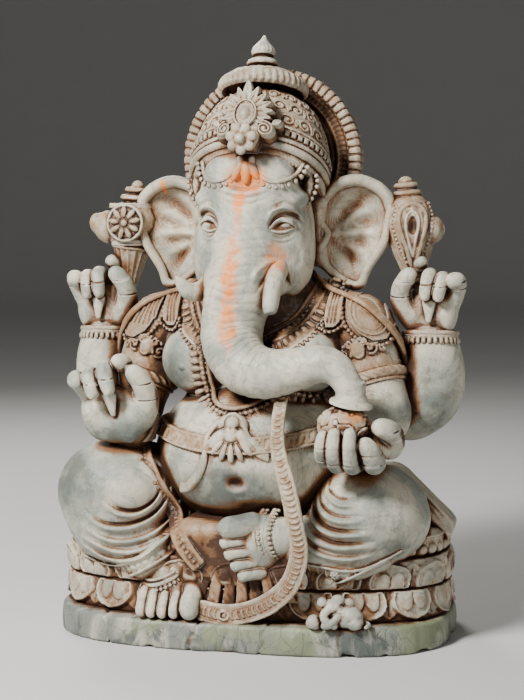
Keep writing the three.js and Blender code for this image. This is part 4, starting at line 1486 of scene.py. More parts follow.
def build_cape(side):
    """A shoulder cloth of two hanging lobes, pleated, with a scalloped beaded edge."""
    lo, hi = ((54, -76, 272), (156, 56, 352)) if side > 0 else ((-156, -76, 272), (-54, 56, 352))
    c = form_shoulder(Clay(lo, hi, 0.8), side)
    r = Relief((50, 268), (160, 356))
    wide = [(88, 350), (92, 330), (96, 312), (108, 297), (122, 290), (134, 292), (140, 306), (136, 326), (120, 345),
            (104, 352)]
    small = [(76, 352), (74, 330), (73, 312), (76, 303), (84, 303), (90, 309), (91, 330), (90, 352)]
    r.plate(wide, 3.0, edge=1.6, rim=1.2, rim_width=1.0)
    r.plate(small, 4.0, edge=1.6, rim=0.8, rim_width=0.9)
    for k in range(3):
        r.line([(80 + k * 3.2, 344), (79 + k * 3.0, 322), (77.5 + k * 3.4, 308)], 0.9, -1.2, add=True)
    if side < 0:
        for k in range(7):
            a = k / 6
            r.line([(93 + 14 * a, 346 - 3 * a), (98 + 22 * a, 322 + 2 * a), (100 + 33 * a, 303 + 4 * a)], 0.9, -1.3,
                   add=True)
    else:
        r.line([(98, 330), (100, 314), (109, 302), (122, 297), (131, 302), (132, 316), (122, 332), (108, 338),
                (98, 330)], 1.2, 4.6)
        r.line([(102, 328), (104, 314), (111, 306), (121, 302), (127, 306), (127, 316), (119, 328), (108, 333),
                (102, 328)], 0.8, 4.0)
    r.dots(along([(89, 326), (93, 308), (105, 294), (120, 287), (133, 288), (142, 300)], 4.6), 2.6, 4.6)
    r.dots(along([(72, 310), (75, 301), (83, 300), (91, 305)], 4.2), 2.3, 4.8)

    def thick(p):
        x = np.abs(p[:, 0])
        front = r.read(x, p[:, 2])
        plain = 2.4 + 0.5 * np.sin(x / 1.6)
        return np.where(p[:, 1] < 12, front, np.where(p[:, 2] > 300, plain, 0))
    overlay_shell(c, thick, lambda p: 0.8 - thick(p), 3.0)
    return weather(c, 0.2, 7, 58)


def build_cord(side):
    """Two twisted strands lying from the neck over the shoulder and down behind the arm."""
    base = form_shoulder(Clay((30, -80, 250), (160, 60, 372), 1.1), 1)
    c = Clay((40, -50, 252), (164, 46, 372), 0.75)
    spots = [(56, 6, 356), (72, -10, 350), (90, -22, 341), (107, -26, 330), (120, -24, 317), (131, -16, 303),
             (138, -6, 288), (141, 4, 272), (142, 12, 262)]
    for off in (0.0, 5.6):
        line = spline([(x + off * 0.6, y + 2 - off * 0.25, z + 2 - off * 0.75) for x, y, z in spots], 60)
        for _ in range(5):
            slope = np.stack([base.sample(line + e) - base.sample(line - e) for e in np.eye(3)], 1)
            slope /= np.maximum(np.linalg.norm(slope, axis=1), 1e-6)[:, None]
            line = line + slope * np.clip(4.6 - base.sample(line), -4, 4)[:, None]
        line = smoothed(line, 6)
        c.add(rope(line, 3.0), 0.4)
    weather(c, 0.3, 7, 60)
    return flipped(c) if side < 0 else c


# ---- legs and feet ----

def form_right_leg(c):
    c.add(bone((-62, 0, 128), 48, (-120, -46, 138), 50))
    c.add(egg((-129, -60, 141), (60, 55, 51)), 16)
    c.add(bone((-126, -66, 112), 46, (-88, -80, 84), 29), 18)
    return c


def form_left_leg(c):
    c.add(bone((66, 0, 120), 45, (122, -46, 124), 47))
    c.add(egg((125, -54, 124), (56, 56, 48)), 16)
    c.add(bone((108, -76, 94), 30, (66, -86, 100), 25), 16)
    return c


def fold_lines(r, folds, width=3.2, height=3.0):
    for k, f in enumerate(folds):
        r.soft(f, width * (1 + 0.2 * (k % 2)), height)
    for f in folds:
        r.soft([(x, z + 4.6) for x, z in f], width * 0.55, -height * 0.6)
    return r


def build_right_leg():
    """The upright knee: cloth drawn tight over the kneecap, ringed folds below it and an engraved hem."""
    c = form_right_leg(Clay((-196, -126, 52), (-30, 50, 200), 1.05))
    r = Relief((-200, 46), (-24, 204))
    r.lens((-99, 150), 22, 19, 5.5, 0, 0.6)
    fold_lines(r, [
        [(-104, 172), (-88, 168), (-76, 154), (-79, 136), (-94, 125), (-112, 127), (-124, 136)],
        [(-82, 168), (-70, 152), (-71, 136), (-82, 120), (-102, 112), (-125, 113), (-144, 124)],
        [(-72, 156), (-63, 138), (-67, 120), (-81, 106), (-104, 99), (-127, 101), (-148, 112)],
        [(-62, 134), (-58, 114), (-75, 98), (-99, 89), (-124, 90), (-150, 100)],
        [(-58, 112), (-80, 90), (-103, 80), (-127, 80), (-152, 90)]], 2.8, 4.6)
    hem_top = [(-52, 112), (-75, 93), (-97, 80), (-118, 73), (-140, 72), (-160, 78)]
    hem_low = [(-48, 99), (-69, 83), (-93, 69), (-112, 61), (-135, 59), (-162, 64)]
    r.line(hem_top, 1.5, 3.2)
    r.line(hem_low, 2.0, 3.6)
    mid = spline([((a[0] + b[0]) / 2, (a[1] + b[1]) / 2) for a, b in zip(hem_top, hem_low)], 17)
    for k, m in enumerate(mid[1:-1]):
        ru, rv, turn = (2.4, 4.2, 0) if k % 2 else (3.6, 4.0, 45)
        r.lens(tuple(m), ru, rv, 1.6, turn, 0.5)
    press(c, r, (-196, -126, 52), (-30, 10, 204), 20)
    c.add(bone((-80, -74, 92), 24, (-69, -80, 64), 24), 3)
    c.stand(54)
    return weather(c, 0.35, 15, 62)


def build_left_leg():
    """The folded leg: cloth strained round the thigh in five folds, a hem with a pointed corner and a rosette."""
    c = form_left_leg(Clay((30, -126, 54), (196, 50, 182), 1.05))
    hem = [(64, 86), (84, 83), (108, 80), (126, 82), (146, 90), (160, 98)]
    c.add([egg((104 + 6 * k, -92 + 3 * abs(k), 78 + 1.5 * abs(k)), (15, 12, 9)) for k in range(-5, 6)], 6)
    r = Relief((20, 50), (200, 186))
    fold_lines(r, [
        [(86, 158), (90, 148), (103, 142), (118, 143)],
        [(76, 148), (84, 134), (101, 127), (126, 128)],
        [(69, 140), (78, 124), (98, 114), (132, 115)],
        [(66, 128), (78, 111), (101, 102), (136, 104)],
        [(66, 113), (82, 97), (106, 91), (134, 94)]], 2.7, 4.4)
    r.line(hem, 1.7, 3.0)
    r.line([(64, 73), (84, 68), (98, 66), (112, 72), (126, 79), (146, 88)], 1.9, 3.4)
    r.flower((99, 75), 5.5, 8, 3.0)
    for x in (74, 82, 90, 110, 118):
        r.line([(x, 82), (x + 1, 71)], 0.9, 1.8, n=4)
    press(c, r, (30, -126, 54), (196, 10, 186), 20)
    c.add(bone((70, -86, 104), 23, (40, -90, 106), 20), 3)
    c.stand(60)
    return weather(c, 0.35, 15, 64)


def build_right_foot():
    """A short planted foot with five square-nailed toes side by side."""
    c = Clay((-100, -134, 26), (-22, -52, 84), 0.75)
    c.add(bone((-74, -76, 80), 24, (-67, -82, 60), 24.5))
    c.add(egg((-64, -86, 50), (29, 21, 19)), 8)
    toes = ((-87, 4.7, 34), (-76.5, 4.9, 33.5), (-65.5, 5.0, 33.5), (-54, 5.2, 34), (-38.5, 9.0, 37.5))
    for x, r, z in toes:
        c.add(tube([(x * 0.86 - 9, -94, 54, r + 2), (x, -106, 49, r + 0.6), (x, -116, z + 6, r), (x, -119, z, r)], 10),
              1.4)
        c.add(egg((x, -118 - r * 0.8, z + 1.5), (r * 0.7, 1.8, r * 0.75)), 0.4)
    c.stand(SLAB_TOP + 0.4)
    return weather(c, 0.3, 10, 66)


def build_left_foot():
    """The raised foot in profile to the front: the big toe above four smaller toes."""
    c = Clay((-20, -132, 60), (78, -66, 140), 0.75)
    c.add(bone((60, -90, 106), 20, (30, -94, 106), 21))
    c.add(egg((26, -96, 100), (22, 17, 29)), 10)
    toes = ((-1, 118, 10.2, 20), (-4, 103.5, 5.6, 20), (0, 92.5, 5.4, 20), (6, 82, 5.2, 18), (13, 72.5, 5.0, 16))
    for x, z, r, reach in toes:
        c.add(tube([(x + reach, -104, z + 2, r + 1.5), (x + reach / 2, -110, z + 1, r + 0.3), (x + 1, -113, z, r),
                    (x, -111, z - 1.5, r * 0.96)], 10), 1.4)
        c.add(egg((x - r * 0.5, -113 - r * 0.45, z + 0.5), (r * 0.5, r * 0.5, r * 0.6)), 0.6)
    return weather(c, 0.3, 10, 68)


def band_beads(c, line, size, gap, up):
    """A cord with a row of beads beside it along 3-D points."""
    line = smoothed(line, 3)
    c.add(rope(line, size), 0.4)
    up = vec(*up)
    steps = np.concatenate([[0], np.cumsum(np.linalg.norm(np.diff(line, axis=0), axis=1))])
    at = np.arange(0, steps[-1], gap)
    q = np.stack([np.interp(at, steps, line[:, k]) for k in range(3)], 1)
    c.add([egg(p + up, (gap * 0.46,) * 3) for p in q], 0.2)
    return c


def build_right_anklet():
    base = Clay((-112, -140, 30), (-20, -40, 92), 1.0)
    base.add(bone((-80, -74, 92), 24, (-67, -82, 60), 24.5))
    base.add(egg((-64, -86, 50), (29, 21, 19)), 8)
    c = Clay((-112, -136, 34), (-24, -50, 90), 0.7)
    path = [(-92, 58), (-86, 56), (-74, 58), (-62, 63), (-50, 71), (-45, 78)]
    line = smoothed(np.array(base.front(along(path, 2.6))) + vec(0, -1.5, 0), 4)
    band_beads(c, line, 2.6, 4.8, (0.8, -1.6, -4.8))
    line = smoothed(np.array(line) + vec(-0.6, 0.5, 5.0), 3)
    c.add(rope(line, 1.6), 0.4)
    return weather(c, 0.15, 6, 70)


def build_left_anklet():
    base = Clay((-20, -140, 60), (100, -50, 146), 1.0)
    base.add(bone((66, -88, 106), 22, (30, -94, 106), 22))
    c = Clay((8, -134, 74), (52, -56, 142), 0.7)
    for x0, size in ((27, 2.6), (38, 3.0)):
        line = base.front(along([(x0 + 1, 132), (x0 - 3, 122), (x0 - 3, 108), (x0 + 1, 94), (x0 + 6, 84)], 2.6))
        band_beads(c, line, size, 4.6, (4.4 if x0 < 30 else 3.8, -1.2, 0.5))
    return weather(c, 0.15, 6, 72)


# ---- cloth, sash and mouse ----

def ribbon(c, path, width, thick=2.6, rim=1.5):
    """A flat band facing the viewer along x, y, z points: a plate with two round edges."""
    line = spline(path, 10 * len(path))
    n = sideways(line)
    half = np.interp(np.linspace(0, 1, len(line)), np.linspace(0, 1, len(width)), width) / 2
    for share in (-0.75, -0.35, 0, 0.35, 0.75):
        q = line + n * (half * share)[:, None]
        for i in range(0, len(q) - 1):
            r = max(thick, half[i] * 0.3)
            c.add(bone(q[i], r, q[i + 1], r, ((0, 1, 0), thick / r)), 0.6)
    for side in (-1, 1):
        q = line + n * (half * side)[:, None] + vec(0, -thick * 0.5, 0)
        c.add(rope(q, rim), 0.8)
    return line


SASH = [(47, -99, 242), (46, -110, 219), (47, -116, 200), (51, -120, 182), (57, -124, 166), (62, -125, 146),
        (66, -124, 124), (69, -122, 104), (67, -121, 86), (58, -118, 66), (40, -116, 49), (19, -116, 39),
        (-4, -117, 35), (-28, -115, 38)]


def build_sash():
    """The long band that falls past the belly and curls along the seat, engraved with waves."""
    c = Clay((-44, -140, 26), (86, -84, 250), 0.8)
    width = [9, 9.5, 10.5, 12, 13, 13, 13.5, 14, 15, 16, 17, 17, 18, 17]
    line = ribbon(c, SASH, width)

    def waves(p):
        s, near = along_path(p, line[::3])
        side = np.abs(p[:, 0] - near[:, 0]) + np.abs(p[:, 2] - near[:, 2])
        k = np.mod(s + 0.055 * side ** 2, 5.4) / 5.4
        ridge = 1.5 * np.clip(1 - ((k - 0.5) / 0.30) ** 2, 0, 1)
        return ridge * (side < 5.2) * (p[:, 1] < near[:, 1])
    everywhere(c, waves)
    rosette = (-4, -120, 35)
    c.add(ring(rosette, 4.2, 1.0, (90, 0, 0)), 0.6)
    c.add(ball(rosette, 2.0), 0.6)
    return weather(c, 0.25, 7, 74)


def build_pleats():
    """The cloth between the knees: a smooth lap, then flat tapering folds that fan out over the seat."""
    c = Clay((-108, -124, 24), (80, -30, 190), 0.85)
    c.add(boxy((3, -75, 89), (64, 29, 33), 16))
    tops = (-24, -14, -5, 4, 13, 22, 31, 42)
    feet = (-42, -27, -12, 3, 18, 33, 48, 64)
    for k in range(len(feet) - 1):
        a, b, e, f = tops[k], tops[k + 1], feet[k], feet[k + 1]
        low = 33 + 0.006 * ((e + f) / 2 - 8) ** 2 + 2.5 * (k % 2)
        quad = [(a + 0.5, 96), (b - 0.5, 96), (f - 1.2, low), (e + 1.2, low)]
        x, y, z, d2 = outline_on(c, quad)
        yc = F32(-98 - 2.5 * (k % 2)) - F32(0.12) * (60 - z) + F32(0.18) * (x - F32((e + f) / 2))
        c.d = np.minimum(c.d, rounded(d2 + F32(1.6), np.abs(y - yc) - F32(4.4), F32(1.6)))
    c.add(boxy((8, -84, 62), (52, 12, 32), 4), 2)
    c.stand(SLAB_TOP + 0.5)
    leg = form_right_leg(Clay((-196, -126, 52), (-20, 20, 200), 1.4))
    leg.add(boxy((3, -75, 89), (64, 29, 33), 16))
    skin = np.array(leg.front(along([(-99, 187), (-89, 172), (-79, 152), (-68, 130), (-56, 108), (-45, 92),
                                     (-33, 79)], 3)), float)
    edge = smoothed(skin, 40)
    edge[:, 1] = np.minimum(edge[:, 1], skin[:, 1])
    edge = smoothed(edge, 8)
    ribbon(c, edge + vec(0, -1.5, 0), [9, 12, 13, 13, 13, 13, 12])
    c.add([ball(q + vec(0, -4.4, 0), 2.3) for q in along(edge, 5.4)], 0.6)
    return weather(c, 0.35, 8, 76)


def build_hip_drape():
    """Cloth falling from the hip over the thigh's outer side, in folds that end in a frill."""
    c = Clay((112, -34, 82), (212, 28, 182), 0.95)
    edge = [(122, 168), (142, 168), (162, 152), (182, 131), (197, 113), (192, 96), (184, 88), (174, 101), (168, 126),
            (152, 152)]
    pts = spline(edge + [edge[0]], 70)
    x, y, z, d2 = outline_on(c, pts)
    across = (x - 122) * F32(0.64) + (z - 168) * F32(0.77)
    centre = F32(-8) + F32(3.4) * np.sin(across / F32(3.1)) * np.clip((172 - z) / 24, 0.3, 1) + F32(0.12) * (170 - z)
    c.d = rounded(d2 + F32(4), np.abs(y - centre - 3) - F32(13), F32(4)).astype(F32)
    line = [(a, -17 + 0.12 * (170 - b), b) for a, b in along([(152, 156), (170, 136), (186, 112), (190, 96)], 3)]
    c.add(rope(line, 2.6), 2)
    return weather(c, 0.35, 9, 78)


def build_mouse():
    """A small mouse holding a sweet: raised head, round ear, bent arm and a humped back."""
    c = Clay((70, -134, 26), (138, -88, 66), 0.6)
    c.add(egg((112, -110, 38), (15, 11, 11)))
    c.add(egg((98, -112, 47), (9.5, 9, 7.5)), 3)
    c.add(egg((90, -117, 52), (4.6, 4, 5), (0, -20, 0)), 1)
    c.add(egg((104, -112, 54), (6.5, 4, 5)), 1)
    c.add(egg((114, -110, 51), (5, 4, 4.5)), 1)
    c.add(ball((82, -118, 33), 7.2), 0.6)
    c.add(tube([(96, -118, 46, 4), (92, -121, 40, 3.6), (96, -122, 34, 3.4), (102, -120, 31, 3.4)], 10), 1)
    c.add(tube([(106, -119, 40, 3.6), (99, -122, 33, 3.2), (93, -122, 31, 3)], 8), 1)
    c.add(egg((120, -112, 33), (8, 9, 7)), 1)
    c.add(egg((98, -112, 32), (9, 7, 4.5)), 1)
    c.add(tube([(126, -104, 32, 2.4), (132, -108, 31, 2), (131, -116, 30, 1.6)], 10), 1)
    c.stand(SLAB_TOP + 0.4)
    return weather(c, 0.5, 5, 80)


# ---- the list of pieces ----

PALE, STAINED = "pale_stone", "stained_stone"


def pair(name, build, warm, grade=PALE):
    """The left and the right piece of a name with a gap for the side."""
    return [(name.format(word), build, (side,), warm, grade) for word, side in (("left", 1), ("right", -1))]


PIECES = [
    ("plinth_slab", build_slab, (), 0.0, PALE),
    ("lotus_lower_tier", build_lotus, (27, 58, -1), 0.42, PALE),
    ("lotus_upper_tier", build_lotus, (58, 86, 1, 188, 97, 20, 0.5), 0.40, PALE),
    ("seat_cushion", build_cushion, (), 0.45, PALE),
    ("torso", build_torso, (), 0.02, PALE),
    ("waist_belt", build_belt, (), 0.72, STAINED),
    ("belt_knot", build_knot, (), 0.32, STAINED),
    ("collar_necklace", build_collar, (), 0.85, STAINED),
    ("long_necklace", build_long_necklace, (), 0.65, STAINED),
    ("head", build_head, (), 0.0, PALE),
    ("trunk", build_trunk, (), 0.0, PALE),
    *pair("{}_tusk", build_tusk, 0.0),
    *pair("{}_ear", build_ear, 0.42),
    ("crown_dome", build_dome, (), 0.5, STAINED),
    ("crown_band", build_band, (), 0.35, STAINED),
    ("crown_crest", build_crest, (), 0.4, STAINED),
    ("crown_canopy", build_canopy, (), 0.45, STAINED),
    ("crown_finial", build_finial, (), 0.1, PALE),
    ("forehead_garland", build_garland, (), 0.35, STAINED),
    ("halo_disc", build_halo, (), 0.62, STAINED),
    *pair("{}_shoulder_cape", build_cape, 0.75, STAINED),
    *pair("{}_shoulder_cord", build_cord, 0.95, STAINED),
    *pair("{}_armlet", build_armlet, 0.72, STAINED),
    ("left_emblem", build_left_emblem, (), 0.62, STAINED),
    ("right_emblem", build_right_emblem, (), 0.62, STAINED),
    *pair("front_{}_arm", build_front_arm, 0.08),
    *pair("front_{}_forearm", build_front_fore, 0.08),
    *pair("rear_{}_arm", build_rear_arm, 0.08),
    *pair("rear_{}_forearm", build_rear_fore, 0.03),
    *pair("rear_{}_hand", build_rear_hand, 0.05),
    *pair("rear_{}_bracelet", build_bracelet, 0.45, STAINED),
    ("front_right_bangle", build_bangle, (), 0.3, STAINED),
    ("front_right_hand", build_front_right_hand, (), 0.0, PALE),
    ("front_left_hand", build_front_left_hand, (), 0.0, PALE),
    ("sweet_ball", build_sweet, (), 0.6, STAINED),
    ("right_leg", build_right_leg, (), 0.05, PALE),
    ("left_leg", build_left_leg, (), 0.08, PALE),
    ("right_foot", build_right_foot, (), 0.1, PALE),
    ("left_foot", build_left_foot, (), 0.08, PALE),
    ("right_anklet", build_right_anklet, (), 0.3, STAINED),
    ("left_anklet", build_left_anklet, (), 0.3, STAINED),
    ("centre_sash", build_sash, (), 0.6, STAINED),
    ("front_pleats", build_pleats, (), 0.95, STAINED),
    ("left_hip_drape", build_hip_drape, (), 0.4, PALE),
    ("mouse", build_mouse, (), 0.12, PALE),
]


# ---- wear, patina, painted shade and painted highlights that follow the whole figure ----

class Room:
    """Which parts of the space are stone, coarsely, and how enclosed any point is."""
    CELL = 2.0
    REACH = (2, 5, 10)

    LOW = (-216, -146, -10)
    CELLS = (216, 142, 308)

    def __init__(self):
        self.lo = vec(*self.LOW)
        self.n = np.array(self.CELLS)
        self.full = np.zeros(self.n, F32)

    def mark(self, clay):
        index, source = [], []
        for k in range(3):
            q = self.lo[k] + self.CELL * np.arange(self.n[k])
            i = np.round((q - clay.lo[k]) / clay.v).astype(int)
            ok = (i >= 0) & (i < clay.n[k])
            index.append(np.nonzero(ok)[0])
            source.append(i[ok])
        self.full[np.ix_(*index)] = np.maximum(self.full[np.ix_(*index)], clay.d[np.ix_(*source)] < 0)

    def settle(self):
        self.soft = []
        for reach in self.REACH:
            a = self.full
            for k in range(3):
                pad = [(0, 0)] * 3
                pad[k] = (reach + 1, reach)
                s = np.cumsum(np.pad(a, pad, mode="edge"), axis=k, dtype=np.float64)
                n = a.shape[k]
                hi = np.take(s, np.arange(2 * reach + 1, 2 * reach + 1 + n), axis=k)
                lo = np.take(s, np.arange(0, n), axis=k)
                a = ((hi - lo) / (2 * reach + 1)).astype(F32)
            self.soft.append(a)

    def enclosed(self, p, n):
        """0 in the open to 1 deep in a recess, at each reach."""
        out = []
        for reach, grid in zip(self.REACH, self.soft):
            q = (p + n * reach * self.CELL * 0.5 - self.lo) / self.CELL
            i = np.clip(np.round(q).astype(int), 0, self.n - 1)
            out.append(np.clip((grid[i[:, 0], i[:, 1], i[:, 2]] - 0.25) / 0.45, 0, 1))
        return out


def spot(p, centre, radii, power=1.0):
    """1 at a centre fading to 0 at the radii, softly."""
    q = ((p - vec(*centre)) / vec(*radii)) ** 2
    return np.clip(1 - q.sum(1), 0, 1) ** power


# strength, centre, radii and power of each patch
MARKS = ((0.95, (2, -66, 448), (27, 40, 19), 0.6), (1.5, (-4, -66, 425), (7.5, 40, 14), 0.5),
         (0.75, (-4, -66, 402), (6.5, 40, 26), 0.5), (1.1, (-8, -98, 312), (4, 20, 5), 0.6),
         (1.3, (-104, 8, 437), (5, 18, 14), 0.5), (0.9, (32, -62, 368), (17, 34, 24), 0.8),
         (0.6, (122, -118, 226), (20, 26, 12), 0.8), (0.45, (-176, 6, 346), (14, 14, 12), 0.8),
         (0.4, (-136, -106, 250), (16, 16, 14), 0.8), (0.4, (0, -120, 196), (26, 22, 10), 0.8))
STAINS = ((0.8, (-158, -90, 152), (44, 60, 40), 0.7), (0.8, (-6, -110, 146), (62, 40, 36), 0.7),
          (0.7, (-122, -90, 202), (42, 50, 26), 0.7), (0.75, (168, 10, 236), (34, 50, 44), 0.7),
          (0.6, (116, -120, 186), (42, 40, 20), 0.7), (0.5, (146, -96, 110), (46, 60, 40), 0.7),
          (0.6, (-68, -60, 262), (26, 40, 26), 0.7), (0.45, (40, -60, 398), (24, 40, 30), 0.7))


def patches(p, table):
    m = 0
    for strength, centre, radii, power in table:
        m = np.maximum(m, strength * spot(p, centre, radii, power))
    return m


def vermilion(p):
    """The orange powder: its patches, and the stripe down the trunk."""
    ragged = 0.35 * noise3(p, 7, 90) + 0.2 * noise3(p, 2.6, 91)
    stripe = np.exp(-((p[:, 0] + 6 - 0.02 * (340 - p[:, 2])) / 10.5) ** 2) * (p[:, 1] < -62)
    stripe = stripe * np.clip((p[:, 2] - 272) / 26, 0, 1) * np.clip((408 - p[:, 2]) / 30, 0, 1)
    return np.clip(np.maximum(patches(p, MARKS), 1.1 * stripe) * (0.75 + ragged), 0, 1)


def stains(p):
    """The grey weather stains."""
    patchy = 0.5 + 0.9 * noise3(p, 21, 95) + 0.4 * noise3(p, 7, 96)
    m = 1.15 * patches(p, STAINS)
    return np.clip(m * (0.6 + 0.6 * np.clip(patchy, 0, 1)) + 0.22 * np.clip(noise3(p, 34, 97), 0, 1), 0, 1)


# how much of the patina and painted recess shade each piece keeps, where that isn't all of it
PATINA_AND_SHADE_SHARE = {"head": 0.55, "trunk": 0.5, "left_tusk": 0.5, "right_tusk": 0.5, "left_ear": 0.8, "right_ear": 0.8,
         "crown_dome": 0.85, "torso": 1.25, "front_left_hand": 0.8, "front_right_hand": 0.8, "right_leg": 0.72,
         "left_leg": 0.72, "left_foot": 0.8, "right_foot": 0.8, "front_pleats": 1.5, "plinth_slab": 0.8}


def dress(name, clay, room):
    """Mesh arrays and attributes of one piece: wear, patina, painted shade and painted highlights."""
    points, faces = clay.quads()
    p = points.astype(float)
    step = clay.v * 0.8
    shift = step * np.eye(3)
    n = np.stack([clay.sample(p + e) - clay.sample(p - e) for e in shift], 1)
    size = np.maximum(np.linalg.norm(n, axis=1), 1e-6)[:, None]
    slope = size[:, 0] / (2 * step)
    n = n / size
    p -= n * np.clip(clay.sample(p) / np.maximum(slope, 0.4), -0.4 * clay.v, 0.4 * clay.v)[:, None]
    here = clay.sample(p)
    fine = 0
    for h in (1.6, 3.2):
        fine = fine + 0.5 * np.clip((h - (clay.sample(p + n * h) - here)) / h, 0, 1)
    # painted highlight: raised edges, lightened in the finish
    edge = np.clip((1.6 + clay.sample(p - n * 1.6) - here) / 1.6, 0, 1)
    near, mid, far = room.enclosed(p, n)
    # patina and painted shade: fine creases and enclosed recesses, also between pieces, get the brown patina of the
    # hollows and painted shade there too
    dirt = np.clip((1.05 * fine + 0.6 * near + 0.7 * mid + 0.75 * far - 0.14) * PATINA_AND_SHADE_SHARE.get(name, 1.0), 0, 1)
    # broad patina and painted shade: a wide sienna flush where the forms meet and enclose each other
    glow = np.clip(0.7 * mid + 1.25 * far - 0.16, 0, 1)
    # grey stains, plus painted shade on the surfaces that face down
    stain = np.clip(stains(p) + 0.55 * np.clip(-n[:, 2] - 0.1, 0, 1) ** 1.2, 0, 1)      # undersides too
    wear_and_painted_light = {"dirt": dirt, "edge": edge, "mark": vermilion(p), "stain": stain, "glow": glow}
    return p, faces, n, wear_and_painted_light


def make_mesh(name, points, faces, normals, wear_and_painted_light, warm):
    me = bpy.data.meshes.new(name)
    points = (points + [MID, 0, 0]) * MM
    me.vertices.add(len(points))
    me.vertices.foreach_set("co", points.astype(F32).ravel())
    me.loops.add(faces.size)
    me.polygons.add(len(faces))
    me.polygons.foreach_set("loop_start", np.arange(0, faces.size, 4, dtype=np.int32))
    me.loops.foreach_set("vertex_index", faces.astype(np.int32).ravel())
    me.update(calc_edges=True)
    me.polygons.foreach_set("use_smooth", np.ones(len(faces), bool))
    me.normals_split_custom_set_from_vertices(normals.astype(F32))
    for key, values in (*wear_and_painted_light.items(), ("warm", np.full(len(points), warm))):
        me.attributes.new(key, "FLOAT", "POINT").data.foreach_set("value", values.astype(F32))
    return bpy.data.objects.new(name, me)


# ---- materials ----

class Graph:
    """Short-hand for a material's nodes."""

    def __init__(self, name):
        self.mat = bpy.data.materials.new(name)
        self.mat.use_nodes = True
        self.tree = self.mat.node_tree
        self.shader = self.tree.nodes["Principled BSDF"]
        self.place = self.node("ShaderNodeTexCoord").outputs["Object"]

    def node(self, kind, **values):
        n = self.tree.nodes.new(kind)
        for key, value in values.items():
            setattr(n, key, value)
        return n

    def link(self, value, socket):
        if isinstance(value, bpy.types.NodeSocket):
            self.tree.links.new(value, socket)
        else:
            socket.default_value = value

    def attribute(self, name):
        return self.node("ShaderNodeAttribute", attribute_name=name).outputs["Fac"]

    def noise(self, scale, detail=4.0, rough=0.55, twist=0.0, stretch=None):
        n = self.node("ShaderNodeTexNoise")
        place = self.place
        if stretch:
            m = self.node("ShaderNodeMapping")
            self.link(place, m.inputs["Vector"])
            m.inputs["Scale"].default_value = stretch
            place = m.outputs[0]
        self.link(place, n.inputs["Vector"])
        for key, value in (("Scale", scale), ("Detail", detail), ("Roughness", rough), ("Distortion", twist)):
            n.inputs[key].default_value = value
        return n.outputs["Fac"]

    def cells(self, scale, feature="F1"):
        n = self.node("ShaderNodeTexVoronoi", feature=feature)
        self.link(self.place, n.inputs["Vector"])
        n.inputs["Scale"].default_value = scale
        return n.outputs["Distance"]

    def span(self, value, a, b, c=0.0, d=1.0):
        n = self.node("ShaderNodeMapRange", interpolation_type="SMOOTHSTEP")
        self.link(value, n.inputs[0])
        for k, v in enumerate((a, b, c, d)):
            n.inputs[k + 1].default_value = v
        return n.outputs[0]

    def math(self, operation, a, b=0.0, clamp=False):
        n = self.node("ShaderNodeMath", operation=operation, use_clamp=clamp)
        self.link(a, n.inputs[0])
        self.link(b, n.inputs[1])
        return n.outputs[0]

    def mix(self, share, a, b):
        n = self.node("ShaderNodeMix", data_type="RGBA")
        self.link(share, n.inputs[0])
        self.link(a, n.inputs[6])
        self.link(b, n.inputs[7])
        return n.outputs[2]

    def bump(self, height, distance, strength=1.0):
        n = self.node("ShaderNodeBump")
        n.inputs["Strength"].default_value = strength
        n.inputs["Distance"].default_value = distance
        self.link(height, n.inputs["Height"])
        return n.outputs[0]


CREAM = (0.66, 0.61, 0.48, 1)
PALE_GREY = (0.30, 0.325, 0.28, 1)
GREY_GREEN = (0.115, 0.145, 0.128, 1)
TAN = (0.42, 0.26, 0.135, 1)
SIENNA = (0.27, 0.12, 0.042, 1)
RUST = (0.20, 0.080, 0.024, 1)
BROWN = (0.042, 0.015, 0.005, 1)
VERMILION = (0.86, 0.235, 0.02, 1)
SOOT = (0.085, 0.095, 0.085, 1)
# the colour of the painted highlights on raised edges
HIGHLIGHT_CREAM = (0.78, 0.74, 0.64, 1)
SLAB_WHITE = (0.50, 0.47, 0.39, 1)
SLAB_GREY = (0.19, 0.20, 0.175, 1)
SLAB_DARK = (0.075, 0.09, 0.08, 1)
SLAB_GREEN = (0.24, 0.27, 0.15, 1)


